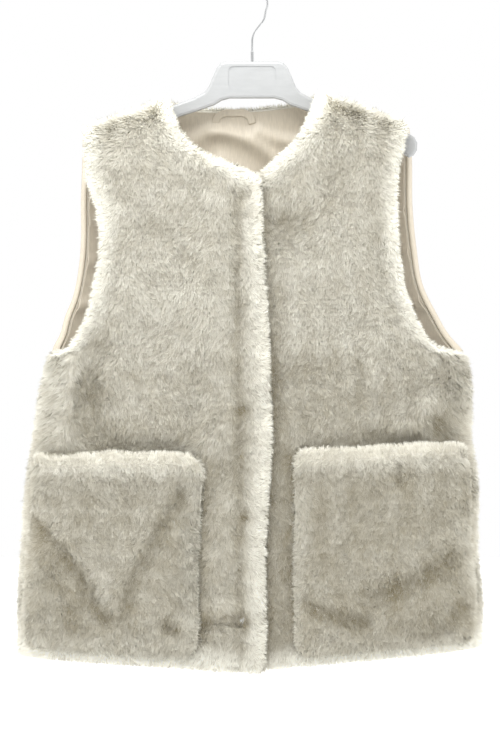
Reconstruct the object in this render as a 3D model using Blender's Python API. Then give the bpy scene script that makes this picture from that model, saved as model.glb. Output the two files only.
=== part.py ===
"""Faux-fur gilet on a clothes hanger: two fronts, a back with its lining, two patch pockets, a hanging
loop, five press studs, a moulded hanger and its wire hook.

The origin is the inner top of the hook, where a rail carries it. X runs to the wearer's left, Y to the
wearer's back and Z up. Sizes are in millimetres, and become metres where each mesh is made. Left and right
are the wearer's.

The side and shoulder seams lie in the plane y = 0. A panel is a grid of rows from the hem to the shoulder.
Its outer face stands off that plane by a depth worked out from how far a point lies inside the outline, its
inner face is the outer one moved in by the wall, and its free edges end in a half-round rim.
"""

import math
from types import SimpleNamespace

import bmesh
import bpy
import numpy as np

MM = 0.001
SEAM = 0.3                # gap between neighbouring pieces
WALL = 11.0               # backing cloth and plush pile, as thick as the fur reaches
LINING = 1.2              # satin lining
SNUG = 1.05               # gap between the lining and the hanger's arm

ARM_START = (73.5, -135.0)  # where the straight top of a hanger arm begins
ARM_SLOPE = 0.366           # fall of the hanger arm and of the shoulder over it
SHOULDER_COS = 1 / math.hypot(1, ARM_SLOPE)
SHOULDER_START = ARM_START[1] + (WALL + SEAM + LINING + SNUG) / SHOULDER_COS
NECK_ROUND = 70.0         # inside this the line of the shoulders rounds over, above the open neck

FRONT_DEPTH = 60.0        # depth of each half of the body before the two ellipses are blended
BACK_DEPTH = 50.0
SHOULDER_REACH = 100.0    # how far below the shoulder, and inside the side, the body goes on rounding
SIDE_REACH = 110.0
BLEND = 4                 # power of the soft minimum
ON_SEAM = 0.01            # a point nearer the outline than this lies on a seam
FOLD_FADE = 45.0          # folds fade out over this distance from the seams
SLOPE_STEP = 0.3          # half the length over which a face's slope is measured

# Height, then x of the right and the left side. Above the armpits it is the outline that the armholes are
# cut from.
OUTLINE = np.array((
    (-870, -291, 284), (-819, -293, 286), (-763, -293, 288), (-700, -289, 282), (-600, -281, 281),
    (-563, -275, 274), (-513, -268, 275), (-475, -261, 273), (-450, -253, 266), (-430, -251, 258),
    (-409, -248, 248), (-385, -243, 236), (-343, -235, 224), (-300, -231, 217), (-240, -230, 215),
    (-160, -230, 215)), float)

# Free edges as the tips of the fur show them: x, z. Armholes run from the armpit to the shoulder.
ARMHOLE_FRONT_RIGHT = ((-253, -450), (-230, -443), (-216, -420), (-202, -380), (-194.5, -336), (-192.5, -314),
                       (-196, -277), (-210, -229), (-213, -171))
ARMHOLE_FRONT_LEFT = ((266, -450), (248, -447), (224, -437), (206, -408), (194, -379), (188, -340),
                      (183.5, -301), (182.5, -262), (185, -232), (193, -194), (197, -165))
ARMHOLE_BACK_RIGHT = ((-253, -450), (-244, -430), (-238, -409), (-228, -385), (-219.5, -343), (-217, -303),
                      (-217.5, -269), (-216, -229), (-213, -171))
ARMHOLE_BACK_LEFT = ((266, -450), (250, -430), (233, -401), (217, -369), (208.5, -319), (204, -274),
                     (202, -200), (197, -165))
NECK_RIGHT = ((12, -235), (-6.5, -225), (-29, -216), (-55, -206), (-78, -189), (-95, -158), (-104, -131))
NECK_LEFT = ((-34, -243), (-10, -236), (13.5, -224), (27, -211), (45, -195), (58.5, -177), (67, -159),
             (74, -145), (82, -124))
CENTRE_RIGHT = ((17, -851), (19, -770), (18, -710), (21, -640), (26, -560), (25, -510), (21, -415),
                (16, -320), (12, -235))
CENTRE_LEFT = ((-34, -851), (-34, -243))
HEM_RIGHT, HEM_LEFT = -832.0, -822.0  # height of the hem at the side seams
FRONT_HEM_BOW, BACK_HEM_BOW = 1.0, 9.0
BACK_NECK_DIP = 14.0      # how far the back neck hangs below a line between the shoulder seams

OVERLAP_GAP = 3.6         # the right front lies on the left one, with the press studs between them
OVERLAP_LIFT = WALL + OVERLAP_GAP
OVERLAP_FROM, OVERLAP_TO = -94.0, -42.0

# A fold: from x and z to x and z, sideways bow at the middle, width, height (below 0 for a trough).
FOLDS_RIGHT = (
    (-180, -436, -200, -464, -3, 15, -8), (-206, -490, -206, -524, 2, 14, -10),
    (-199, -550, -172, -568, 3, 15, -7), (-236, -470, -238, -560, 0, 26, 6),
    (-168, -480, -160, -548, 0, 26, 4), (-150, -565, -95, -570, 0, 13, -5),
    (-120, -300, -60, -330, 6, 30, -3), (-150, -360, -70, -390, 6, 30, 3))
FOLDS_LEFT = (
    (34, -285, 66, -290, 0, 17, -5), (30, -344, 80, -344, 3, 20, 4), (206, -466, 216, -474, 0, 18, -4),
    (226, -538, 244, -556, 0, 17, -8), (192, -542, 224, -502, 0, 16, 6), (150, -556, 212, -566, 0, 14, -5),
    (40, -480, 120, -500, 4, 26, -3), (60, -420, 150, -440, 4, 28, 3))
FOLDS_BACK = (
    (-60, -300, -40, -800, 10, 34, -6), (70, -340, 50, -810, -8, 36, -6), (-160, -470, -190, -700, 8, 30, 5),
    (165, -480, 195, -720, -8, 30, 5), (0, -260, 5, -760, 4, 40, 4))

LOWER, MIDDLE, UPPER = 12, 5, 11   # rows to the armpit, to the foot of the neck and to the shoulder
LEVEL_WITH_ARMPIT = -448.0         # height at the centre edge of the row that meets the armpit
ARMHOLE_SPLIT = 0.42               # share of the armhole in the middle rows
CLOSER_UP = 1.7                    # power that packs rows towards the shoulder
FRONT_COLUMNS = 14
BACK_SHOULDER, BACK_NECK = 6, 9    # columns over each shoulder and over the neck
CLOSER_OUT = 0.75                  # how far columns are packed towards both ends
RIM_ANGLES = np.radians((45, 90, 135))

# Pockets: first and last column and row of the front's own grid.
POCKET_COLUMNS = (5.0, 12.0)
POCKET_ROWS_RIGHT, POCKET_ROWS_LEFT = (0.35, 7.8), (0.3, 8.0)
POCKET_EDGE = 0.2                  # first line in from the pocket's edge, in grid steps
POCKET_WALL, POCKET_EDGE_WALL, POCKET_ROUND = 13.0, 2.5, 16.0
POCKET_HOLLOW, HOLLOW_SIDE, HOLLOW_FOOT = 9.0, 42.0, 60.0
POCKET_CORNER = 16.0               # how far its rounded corners are cut back
MOUTH_BAND, MOUTH_HEIGHT = 24.0, 3.0
FOLDS_POCKET_RIGHT = (
    (-270, -652, -184, -780, 6, 11, -7), (-256, -640, -176, -762, 6, 14, 4),
    (-84, -632, -160, -776, -8, 12, -6), (-104, -626, -172, -746, -8, 14, 3),
    (-102, -792, -98, -794, 0, 10, -5), (-215, -600, -130, -604, 0, 20, 2))
FOLDS_POCKET_LEFT = (
    (60, -762, 136, -786, -5, 11, -6), (258, -770, 212, -808, 4, 13, -5), (238, -712, 160, -756, 5, 20, -5),
    (240, -680, 150, -716, 5, 20, 3), (180, -594, 181, -612, 0, 7, -3))

STUD_COUNT, STUD_FIRST, STUD_STEP, STUD_X = 5, -256.5, 132.8, -9.0
STUD_RADIUS, STUD_THICK, STUD_ROUND, STUD_SIDES = 7.5, 3.0, 0.6, 20

LOOP_WIDTH, LOOP_THICK, LOOP_GAP = 8.5, 1.4, 0.8
LOOP_PATH = ((-47, -163), (-44, -154), (-37, -149.5), (-24, -149), (-10, -149.5), (-3, -154), (0, -163))

HANGER_THICK, HANGER_BEVEL = 8.6, 3.3
# One half of the hanger's outline from the middle of its top round to the middle of its foot: x, z.
HANGER_BODY = ((0, -89.5), (33, -89.5), (39.5, -91.5), (44.5, -98), (50, -110), (54.5, -121), (60, -128))
HANGER_TIP = ((196, -179.9), (202.5, -184), (206.5, -191), (206, -200.5), (202, -207), (196, -210),
              (190, -206.5), (184, -199))
HANGER_FOOT = ((90, -158.5), (68, -151.5), (47, -144), (38, -138.5), (28, -135.8))
RECESS_WIDTH, RECESS_HEIGHT, RECESS_CORNER, RECESS_DEPTH, RECESS_Z = 60.0, 30.0, 7.0, 1.0, -110.6

WIRE, SHANK = 2.7, 4.2             # diameters of the hook's wire and of its threaded shank
SOCKET_DEPTH = 14.0
SHANK_TOP = -77.5
HOOK_RADIUS = 17.6 + WIRE / 2      # to the middle of the wire
HOOK_CENTRE = -17.6
HOOK_NECK = ((0, -70), (0.5, -60), (3.5, -52.5), (9, -45), (14.5, -37.5))
HOOK_ANGLES = np.radians(np.arange(-25, 156, 10))

FUR = ("cream faux fur", (0.60, 0.55, 0.45), 0.95, 0.0)
SATIN = ("cream satin", (0.72, 0.65, 0.52), 0.45, 0.0)
PLASTIC = ("white moulded plastic", (0.83, 0.84, 0.84), 0.35, 0.0)
STEEL = ("plated steel", (0.60, 0.60, 0.60), 0.25, 1.0)


def clear_scene():
    for old in list(bpy.data.objects):
        bpy.data.objects.remove(old, do_unlink=True)


def material(look):
    """A Principled material with a look's colour, roughness and metallic value."""
    name, colour, roughness, metallic = look
    made = bpy.data.materials.get(name)
    if made is None:
        made = bpy.data.materials.new(name)
        made.use_nodes = True
        shader = made.node_tree.nodes["Principled BSDF"]
        shader.inputs["Base Color"].default_value = (*colour, 1.0)
        shader.inputs["Roughness"].default_value = roughness
        shader.inputs["Metallic"].default_value = metallic
    return made


def make_object(name, points, faces, look):
    """One closed body from points in millimetres, with its faces turned outwards."""
    mesh = bpy.data.meshes.new(name)
    mesh.from_pydata((np.asarray(points) * MM).tolist(), [], [list(map(int, f)) for f in faces])
    work = bmesh.new()
    work.from_mesh(mesh)
    bmesh.ops.recalc_face_normals(work, faces=work.faces)
    work.to_mesh(mesh)
    work.free()
    mesh.shade_smooth()
    mesh.set_sharp_from_angle(angle=math.radians(50))
    mesh.materials.append(material(look))
    made = bpy.data.objects.new(name, mesh)
    bpy.context.collection.objects.link(made)
    return made


def through(at, places, values):
    """A smooth curve through a table: cubic pieces that share the neighbours' slopes."""
    slope = np.gradient(values, places)
    k = np.clip(np.searchsorted(places, at) - 1, 0, len(places) - 2)
    step = places[k + 1] - places[k]
    t = np.clip((at - places[k]) / step, 0, 1)
    start = (1 + 2 * t) * (1 - t) ** 2 * values[k] + t * (1 - t) ** 2 * step * slope[k]
    end = t ** 2 * (3 - 2 * t) * values[k + 1] + t ** 2 * (t - 1) * step * slope[k + 1]
    return start + end


def curve(points):
    """A smooth curve through points, as a function of the share of its length."""
    points = np.asarray(points, float)
    steps = np.linalg.norm(np.diff(points, axis=0), axis=1)
    at = np.concatenate([[0], np.cumsum(steps)])
    return lambda share: np.stack([through(np.asarray(share) * at[-1], at, points[:, k])
                                   for k in range(points.shape[1])], axis=-1)


def smooth(t):
    t = np.clip(t, 0, 1)
    return t * t * (3 - 2 * t)


def quarter(distance, reach, most):
    """A quarter ellipse: nothing at the edge, rising to most at reach and staying there."""
    t = np.clip(distance / reach, 0, 1)
    return most * np.sqrt(1 - (1 - t) ** 2)


def shoulder_z(x):
    """Height of the shoulders' outer line, which rounds over above the neck."""
    along = np.where(np.abs(x) < NECK_ROUND, (x * x / NECK_ROUND + NECK_ROUND) / 2, np.abs(x))
    return SHOULDER_START - ARM_SLOPE * (along - ARM_START[0])


def side_x(z, side):
    """x of the outline at a height: side -1 is the right one and side 1 the left one."""
    return through(z, OUTLINE[:, 0], OUTLINE[:, 1 if side < 0 else 2])


def inside(x, z):
    """How far a point lies below the shoulder line and inside the nearer side."""
    below = (shoulder_z(x) - z) * SHOULDER_COS
    return below, np.minimum(x - side_x(z, -1), side_x(z, 1) - x)


def relief(x, z, folds):
    """The folds' heights added up: each is a soft bar that falls off as a bell curve across and past its
    ends.
    """
    total = np.zeros_like(x)
    for from_x, from_z, to_x, to_z, bow, width, height in folds:
        run_x, run_z = to_x - from_x, to_z - from_z
        length = math.hypot(run_x, run_z)
        along = ((x - from_x) * run_x + (z - from_z) * run_z) / length
        share = np.clip(along / length, 0, 1)
        across = ((z - from_z) * run_x - (x - from_x) * run_z) / length - 4 * bow * share * (1 - share)
        past = along - share * length
        total += height * np.exp(-(across ** 2 + past ** 2) / width ** 2)
    return total


def stand_off(x, z, panel):
    """Distance of a panel's outer face from the seam plane.

    The soft minimum of two quarter ellipses, one down from the shoulder and one in from the side, plus the
    folds and, on the upper front, the lift of the overlap.
    """
    below, within = inside(x, z)
    down = np.maximum(quarter(below, SHOULDER_REACH, panel.depth), 1e-6)
    across = np.maximum(quarter(within, SIDE_REACH, panel.depth), 1e-6)
    body = (down ** -BLEND + across ** -BLEND) ** (-1 / BLEND)
    nearest = np.minimum(below, within)
    folds = relief(x, z, panel.folds) * smooth(nearest / FOLD_FADE)
    lift = panel.lift * smooth((x - OVERLAP_FROM) / (OVERLAP_TO - OVERLAP_FROM))
    return np.where(nearest < ON_SEAM, 0, body + folds + lift)


def outer_face(x, z, panel):
    """Points of a panel's outer face and their outward normals. On a seam the normal lies in the seam
    plane.
    """
    step = SLOPE_STEP
    slope_x = (stand_off(x + step, z, panel) - stand_off(x - step, z, panel)) / (2 * step)
    slope_z = (stand_off(x, z + step, panel) - stand_off(x, z - step, panel)) / (2 * step)
    normal = np.stack([-slope_x, np.full_like(x, panel.way), -slope_z], axis=-1)
    below, within = inside(x, z)
    side = np.sign(x)
    right = side_x(z + step, -1) - side_x(z - step, -1)
    left = side_x(z + step, 1) - side_x(z - step, 1)
    lean = np.where(x < 0, right, left)
    at_side = np.stack([side, np.zeros_like(x), -side * lean / (2 * step)], axis=-1)
    at_shoulder = np.stack([ARM_SLOPE * side, np.zeros_like(x), np.ones_like(x)], axis=-1)
    normal = np.where((within < ON_SEAM)[..., None], at_side, normal)
    normal = np.where((below < ON_SEAM)[..., None], at_shoulder, normal)
    normal /= np.linalg.norm(normal, axis=-1, keepdims=True)
    y = panel.way * (SEAM / 2 + stand_off(x, z, panel))
    return np.stack([x, y, z], axis=-1), normal


def inset(points, turn):
    """An edge moved into its panel by the rim's radius. turn is 1 where the panel lies left of the edge's
    way.
    """
    points = np.asarray(points, float)
    way = np.gradient(points, axis=0)
    way /= np.linalg.norm(way, axis=1, keepdims=True)
    return points + turn * WALL / 2 * np.stack([-way[:, 1], way[:, 0]], axis=1)


def armhole_line(points, side):
    """The armhole's inset edge: it starts on the side seam and ends on the shoulder seam."""
    line = inset(points, side)
    start = points[0][1] - WALL / 2
    line[0] = (side_x(start, side), start)
    end = points[-1][0] - side * WALL / 2 * SHOULDER_COS
    line[-1] = (end, shoulder_z(end))
    return curve(line)


def neck_line(points, side):
    """The neck's inset edge, which ends on the shoulder seam."""
    line = inset(points, -side)
    line[0] = (points[0][0] + side * WALL / 2, points[0][1] - WALL / 2)
    end = points[-1][0] + side * WALL / 2 * SHOULDER_COS
    line[-1] = (end, shoulder_z(end))
    return curve(line)


def packed(count):
    """Shares from 0 to 1, packed towards both ends."""
    s = np.linspace(0, 1, count + 1)
    return s - CLOSER_OUT * np.sin(2 * np.pi * s) / (2 * np.pi)


def hem_at(side):
    """Height of the hem's inset edge at a side seam."""
    return (HEM_RIGHT if side < 0 else HEM_LEFT) + WALL / 2


def rising(count):
    """Shares above 0, up to 1, packed towards the top."""
    return 1 - (1 - np.linspace(0, 1, count + 1)[1:]) ** CLOSER_UP


def front_grid(side, centre, neck, armhole):
    """Rows and columns of a front: x and z. Each row runs from the centre and neck edge to the side and
    armhole.
    """
    neck_at, armhole_at = neck_line(neck, side), armhole_line(armhole, side)
    centre = np.asarray(centre, float)
    hem = centre[0, 1] + WALL / 2
    foot = neck_at(0.0)[1]
    height = np.concatenate([np.linspace(hem, LEVEL_WITH_ARMPIT, LOWER + 1),
                             np.linspace(LEVEL_WITH_ARMPIT, foot, MIDDLE + 1)[1:]])
    edge_x = through(height, centre[:, 1], centre[:, 0]) + side * WALL / 2
    inner = np.concatenate([np.stack([edge_x, height], axis=1), neck_at(rising(UPPER))])
    seam_z = np.linspace(hem_at(side), armhole_at(0.0)[1], LOWER + 1)
    middle = np.linspace(0, ARMHOLE_SPLIT, MIDDLE + 1)[1:]
    upper = ARMHOLE_SPLIT + (1 - ARMHOLE_SPLIT) * rising(UPPER)
    outer = np.concatenate([np.stack([side_x(seam_z, side), seam_z], axis=1),
                            armhole_at(np.concatenate([middle, upper]))])
    share = packed(FRONT_COLUMNS)[None, :, None]
    grid = inner[:, None] * (1 - share) + outer[:, None] * share
    from_hem = np.clip(np.arange(len(grid)) / LOWER, 0, 1)[:, None]
    grid[..., 1] -= FRONT_HEM_BOW * np.sin(np.pi * share[..., 0]) * (1 - from_hem)
    return grid[..., 0], grid[..., 1]


def back_grid():
    """Rows and columns of the back. Its top row follows both shoulder seams and the neck between them."""
    edges = []
    for side, armhole in ((-1, ARMHOLE_BACK_RIGHT), (1, ARMHOLE_BACK_LEFT)):
        line = armhole_line(armhole, side)
        seam_z = np.linspace(hem_at(side), line(0.0)[1], LOWER + 1)
        lower = np.stack([side_x(seam_z, side), seam_z], axis=1)
        edges.append(np.concatenate([lower, line(rising(MIDDLE + UPPER))]))
    right, left = edges
    count = 2 * BACK_SHOULDER + BACK_NECK
    share = packed(count)[None, :, None]
    grid = right[:, None] * (1 - share) + left[:, None] * share
    neck_from = NECK_RIGHT[-1][0] - WALL / 2 * SHOULDER_COS
    neck_to = NECK_LEFT[-1][0] + WALL / 2 * SHOULDER_COS
    over_neck = (1 - np.cos(np.linspace(0, np.pi, BACK_NECK + 1)[1:])) / 2
    top_x = np.concatenate([np.linspace(right[-1, 0], neck_from, BACK_SHOULDER + 1),
                            neck_from + over_neck * (neck_to - neck_from),
                            np.linspace(neck_to, left[-1, 0], BACK_SHOULDER + 1)[1:]])
    over = np.clip((top_x - neck_from) / (neck_to - neck_from), 0, 1)
    level = shoulder_z(neck_from) + over * (shoulder_z(neck_to) - shoulder_z(neck_from))
    dip = (BACK_NECK_DIP + WALL / 2) * np.sqrt(np.clip(np.sin(np.pi * over), 0, 1))
    at_neck = (over > 1e-9) & (over < 1 - 1e-9)
    top_z = np.where(at_neck, level - dip, shoulder_z(top_x))
    top = np.stack([top_x, top_z], axis=1)
    rows = len(grid)
    weight = (np.arange(rows) / (rows - 1))[:, None, None] ** 2
    grid = grid + weight * (top - grid[-1])[None]
    from_hem = np.clip(np.arange(rows) / LOWER, 0, 1)[:, None]
    drop = BACK_HEM_BOW * np.sin(np.pi * np.linspace(0, 1, count + 1))
    grid[..., 1] -= drop * (1 - from_hem)
    return grid[..., 0], grid[..., 1]


def loop_of(rows, columns):
    """Grid places round a grid's border, in order."""
    along = [(0, c) for c in range(columns)]
    up = [(r, columns - 1) for r in range(1, rows)]
    back = [(rows - 1, c) for c in range(columns - 2, -1, -1)]
    down = [(r, 0) for r in range(rows - 2, 0, -1)]
    return np.array(along + up + back + down)


def outward(points, normal, seam):
    """Unit directions that lead out of the sheet round its border, whichever way its grid runs: on the whole
    they point away from its middle. Along a seam they are nothing, and where a seam ends they carry it on.
    """
    before, after = np.roll(points, 1, axis=0), np.roll(points, -1, axis=0)
    lead = np.cross(after - before, normal)
    lead /= np.maximum(np.linalg.norm(lead, axis=1, keepdims=True), 1e-9)
    lead *= np.sign(np.sum(lead * (points - points.mean(axis=0))))
    ahead, behind = np.roll(seam, -1), np.roll(seam, 1)
    on = np.where(ahead[:, None], points - after, points - before)
    on[:, 1] = 0
    on /= np.maximum(np.linalg.norm(on, axis=1, keepdims=True), 1e-9)
    lead = np.where((seam & (ahead != behind))[:, None], on, lead)
    return np.where((seam & ahead & behind)[:, None], 0, lead)


def shell(name, outer, inner, normal, seam, look, angles=RIM_ANGLES, way=0):
    """A closed body between two grids. Its border is closed by a strip, which bulges to a half-round rim
    wherever it is free. way keeps the rim on its own side of the seam plane.
    """
    rows, columns = outer.shape[:2]
    place = loop_of(rows, columns)
    at = place[:, 0] * columns + place[:, 1]
    outer, inner, normal = outer.reshape(-1, 3), inner.reshape(-1, 3), normal.reshape(-1, 3)
    out_at, in_at = outer[at], inner[at]
    lead = outward((out_at + in_at) / 2, normal[at], seam.reshape(-1)[at])
    half = np.linalg.norm(out_at - in_at, axis=1, keepdims=True) / 2
    lines = []
    for angle in angles:
        point = out_at + (in_at - out_at) * (1 - math.cos(angle)) / 2 + lead * half * math.sin(angle)
        if way:
            point[:, 1] = way * np.maximum(way * point[:, 1], SEAM / 2)
        lines.append(point)
    count, border = rows * columns, len(at)
    corner = (np.arange(rows - 1)[:, None] * columns + np.arange(columns - 1)).ravel()
    quads = np.stack([corner, corner + 1, corner + columns + 1, corner + columns], axis=1)
    rings = [at] + [2 * count + k * border + np.arange(border) for k in range(len(lines))] + [count + at]
    strips = [np.stack([a, b, np.roll(b, -1), np.roll(a, -1)], axis=1) for a, b in zip(rings, rings[1:])]
    quads = np.concatenate([quads, quads[:, [0, 3, 2, 1]] + count] + strips)
    faces = np.concatenate([quads[:, [0, 1, 2]], quads[:, [0, 2, 3]]])
    return make_object(name, np.concatenate([outer, inner] + lines), faces, look)


def panel_of(name, x, z, way, depth, folds, lift=0.0):
    """A panel's facts and its faces."""
    panel = SimpleNamespace(name=name, way=way, depth=depth, folds=folds, lift=lift)
    panel.outer, panel.normal = outer_face(x, z, panel)
    panel.inner = panel.outer - WALL * panel.normal
    panel.seam = np.abs(panel.outer[..., 1]) < SEAM / 2 + ON_SEAM
    return panel


def make_panel(panel):
    shell(panel.name, panel.outer, panel.inner, panel.normal, panel.seam, FUR, way=panel.way)


def make_lining(panel):
    """The lining lies inside the back and ends where the back's rim begins."""
    outer = panel.inner - SEAM * panel.normal
    inner = outer - LINING * panel.normal
    bare = np.ones_like(panel.seam)
    shell(panel.name + "_lining", outer, inner, panel.normal, bare, SATIN, angles=())


def between(grid, rows, columns):
    """A grid's values between its lines: rows and columns are places counted in grid steps."""
    r = np.clip(np.floor(rows).astype(int), 0, grid.shape[0] - 2)
    c = np.clip(np.floor(columns).astype(int), 0, grid.shape[1] - 2)
    a, b = (rows - r)[..., None], (columns - c)[..., None]
    near = grid[r, c] * (1 - b) + grid[r, c + 1] * b
    far = grid[r + 1, c] * (1 - b) + grid[r + 1, c + 1] * b
    return near * (1 - a) + far * a


def lines_between(start, end):
    """Grid places from start to end: both ends, a line close to each, and every half step between those."""
    first, last = start + POCKET_EDGE, end - POCKET_EDGE
    halves = np.arange(math.ceil(first * 2 + 0.2), math.floor(last * 2 - 0.2) + 1) / 2
    return np.concatenate([[start, first], halves, [last, end]])


def make_pocket(name, panel, row_range, folds):
    """A patch pocket on a front, made from the front's own points moved out along their normals.

    The pocket stands off the front by a hollow that closes at its sides and foot. Its wall rises from a
    thin sewn edge as a quarter ellipse, with a thicker band at the mouth.
    """
    columns = lines_between(*POCKET_COLUMNS)
    rows = lines_between(*row_range)
    across = (columns - columns[0]) / (columns[-1] - columns[0])
    column, row = np.meshgrid(columns, rows)
    flat = between(panel.outer, row, column)
    width = np.linalg.norm(flat[0, -1] - flat[0, 0])
    height = np.linalg.norm(flat[-1, 0] - flat[0, 0])
    from_side = np.minimum(across, 1 - across)[None, :] * width + np.zeros_like(row)
    cut = (POCKET_CORNER - quarter(from_side, POCKET_CORNER, POCKET_CORNER)) / height
    up = (row - rows[0]) / (rows[-1] - rows[0])
    row = rows[0] + (rows[-1] - rows[0]) * (cut + up * (1 - 2 * cut))
    base = between(panel.outer, row, column)
    normal = between(panel.normal, row, column)
    normal /= np.linalg.norm(normal, axis=-1, keepdims=True)
    from_foot, from_mouth = up * height, (1 - up) * height
    from_edge = np.minimum(from_side, from_foot)
    gap = SEAM + POCKET_HOLLOW * smooth(from_side / HOLLOW_SIDE) * smooth(from_foot / HOLLOW_FOOT)
    wall = POCKET_EDGE_WALL + quarter(from_edge, POCKET_ROUND, POCKET_WALL - POCKET_EDGE_WALL)
    band = MOUTH_HEIGHT * smooth(1.5 - from_mouth / MOUTH_BAND) * smooth(from_side / POCKET_ROUND)
    raised = relief(base[..., 0], base[..., 2], folds) * smooth(from_edge / POCKET_ROUND)
    inner = base + gap[..., None] * normal
    outer = inner + (wall + band + raised)[..., None] * normal
    shell(name, outer, inner, normal, np.zeros(row.shape, bool), FUR)


def make_studs(under):
    """Closed press studs between the two fronts, a seam's gap from each."""
    y = -(SEAM / 2 + float(stand_off(np.array(STUD_X), np.array(STUD_FIRST), under)) + OVERLAP_GAP / 2)
    for k in range(STUD_COUNT):
        work = bmesh.new()
        bmesh.ops.create_cone(work, cap_ends=True, segments=STUD_SIDES, radius1=STUD_RADIUS * MM,
                              radius2=STUD_RADIUS * MM, depth=STUD_THICK * MM)
        mesh = bpy.data.meshes.new(f"press_stud_{k + 1}")
        work.to_mesh(mesh)
        work.free()
        mesh.materials.append(material(STEEL))
        stud = bpy.data.objects.new(mesh.name, mesh)
        stud.location = (STUD_X * MM, y * MM, (STUD_FIRST - k * STUD_STEP) * MM)
        stud.rotation_euler = (math.radians(90), 0, 0)
        bpy.context.collection.objects.link(stud)
        edge = stud.modifiers.new("rounded edge", "BEVEL")
        edge.width = STUD_ROUND * MM
        edge.segments = 1
        edge.limit_method = "ANGLE"
        edge.angle_limit = math.radians(60)


def make_loop(back):
    """A flat strap bent to a low arch on the lining, just under the back neck."""
    path = curve(LOOP_PATH)(np.linspace(0, 1, 19))
    way = np.gradient(path, axis=0)
    way /= np.linalg.norm(way, axis=1, keepdims=True)
    across = np.stack([-way[:, 1], way[:, 0]], axis=1)
    shares = np.linspace(-0.5, 0.5, 3)
    flat = path[:, None] + across[:, None] * shares[None, :, None] * LOOP_WIDTH
    base, normal = outer_face(flat[..., 0], flat[..., 1], back)
    outer = base - normal * (WALL + SEAM + LINING + LOOP_GAP)
    shell("hanging_loop", outer, outer - LOOP_THICK * normal, normal, np.zeros(flat.shape[:2], bool), SATIN,
          angles=np.radians((90,)))


def prism(name, outline, thick, look):
    """A flat outline in x and z, given a thickness either side of the seam plane."""
    outline = np.asarray(outline, float)
    count = len(outline)
    points = [(x, y, z) for y in (-thick / 2, thick / 2) for x, z in outline]
    sides = [(k, (k + 1) % count, (k + 1) % count + count, k + count) for k in range(count)]
    return make_object(name, points, [list(range(count)), list(range(count, 2 * count))] + sides, look)


def cut_from(body, cutter):
    """Cuts one body out of another, and leaves the cutter as a guide only."""
    cutter.hide_render = True
    cutter.display_type = "WIRE"
    cut = body.modifiers.new("cut " + cutter.name, "BOOLEAN")
    cut.operation = "DIFFERENCE"
    cut.object = cutter


def make_hanger():
    """A moulded plate with two arms, a bare label recess in front and a socket for the hook's shank."""
    half = list(HANGER_BODY) + [ARM_START] + list(HANGER_TIP) + list(HANGER_FOOT)
    mirrored = [(-x, z) for x, z in reversed(half) if x > 0]
    hanger = prism("hanger", half + mirrored, HANGER_THICK, PLASTIC)
    edge = hanger.modifiers.new("rounded edge", "BEVEL")
    edge.width = HANGER_BEVEL * MM
    edge.segments = 2
    edge.limit_method = "ANGLE"
    edge.angle_limit = math.radians(60)
    turn = np.radians(np.arange(0, 91, 30))
    corner = [(RECESS_WIDTH / 2 - RECESS_CORNER * (1 - math.cos(a)), RECESS_HEIGHT / 2 - RECESS_CORNER
               * (1 - math.sin(a))) for a in turn]
    outline = (corner + [(-x, z) for x, z in reversed(corner)] + [(-x, -z) for x, z in corner]
               + [(x, -z) for x, z in reversed(corner)])
    recess = prism("recess cutter", outline, 2 * RECESS_DEPTH, PLASTIC)
    recess.location = (0, -HANGER_THICK / 2 * MM, RECESS_Z * MM)
    cut_from(hanger, recess)
    work = bmesh.new()
    radius = (SHANK / 2 + SEAM) * MM
    bmesh.ops.create_cone(work, cap_ends=True, segments=16, radius1=radius, radius2=radius,
                          depth=2 * SOCKET_DEPTH * MM)
    mesh = bpy.data.meshes.new("socket cutter")
    work.to_mesh(mesh)
    work.free()
    socket = bpy.data.objects.new("socket cutter", mesh)
    socket.location = (0, 0, HANGER_BODY[0][1] * MM)
    bpy.context.collection.objects.link(socket)
    cut_from(hanger, socket)


def make_hook():
    """A wire that rises from its threaded shank, swings to one side and arches over the rail."""
    shank_foot = HANGER_BODY[0][1] - SOCKET_DEPTH + SEAM
    arch = [(HOOK_RADIUS * math.cos(a), HOOK_CENTRE + HOOK_RADIUS * math.sin(a)) for a in HOOK_ANGLES]
    bend = curve(HOOK_NECK + tuple(arch))(np.linspace(0, 1, 44))
    shank = [(0, shank_foot, SHANK), (0, SHANK_TOP, SHANK), (0, SHANK_TOP + 1, WIRE)]
    path = shank + [(x, z, WIRE) for x, z in bend]
    line = bpy.data.curves.new("hanger_hook", "CURVE")
    line.dimensions = "3D"
    line.bevel_depth = WIRE / 2 * MM
    line.bevel_resolution = 1
    line.use_fill_caps = True
    spline = line.splines.new("POLY")
    spline.points.add(len(path) - 1)
    for point, (x, z, thick) in zip(spline.points, path):
        point.co = (x * MM, 0, z * MM, 1)
        point.radius = thick / WIRE
    line.materials.append(material(STEEL))
    hook = bpy.data.objects.new("hanger_hook", line)
    bpy.context.collection.objects.link(hook)


def main():
    clear_scene()
    right_grid = front_grid(-1, CENTRE_RIGHT, NECK_RIGHT, ARMHOLE_FRONT_RIGHT)
    left_grid = front_grid(1, CENTRE_LEFT, NECK_LEFT, ARMHOLE_FRONT_LEFT)
    right = panel_of("front_right", *right_grid, -1, FRONT_DEPTH, FOLDS_RIGHT, OVERLAP_LIFT)
    left = panel_of("front_left", *left_grid, -1, FRONT_DEPTH, FOLDS_LEFT)
    back = panel_of("back", *back_grid(), 1, BACK_DEPTH, FOLDS_BACK)
    for panel in (right, left, back):
        make_panel(panel)
    make_lining(back)
    make_pocket("pocket_right", right, POCKET_ROWS_RIGHT, FOLDS_POCKET_RIGHT)
    make_pocket("pocket_left", left, POCKET_ROWS_LEFT, FOLDS_POCKET_LEFT)
    make_studs(left)
    make_loop(back)
    make_hanger()
    make_hook()


main()
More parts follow.
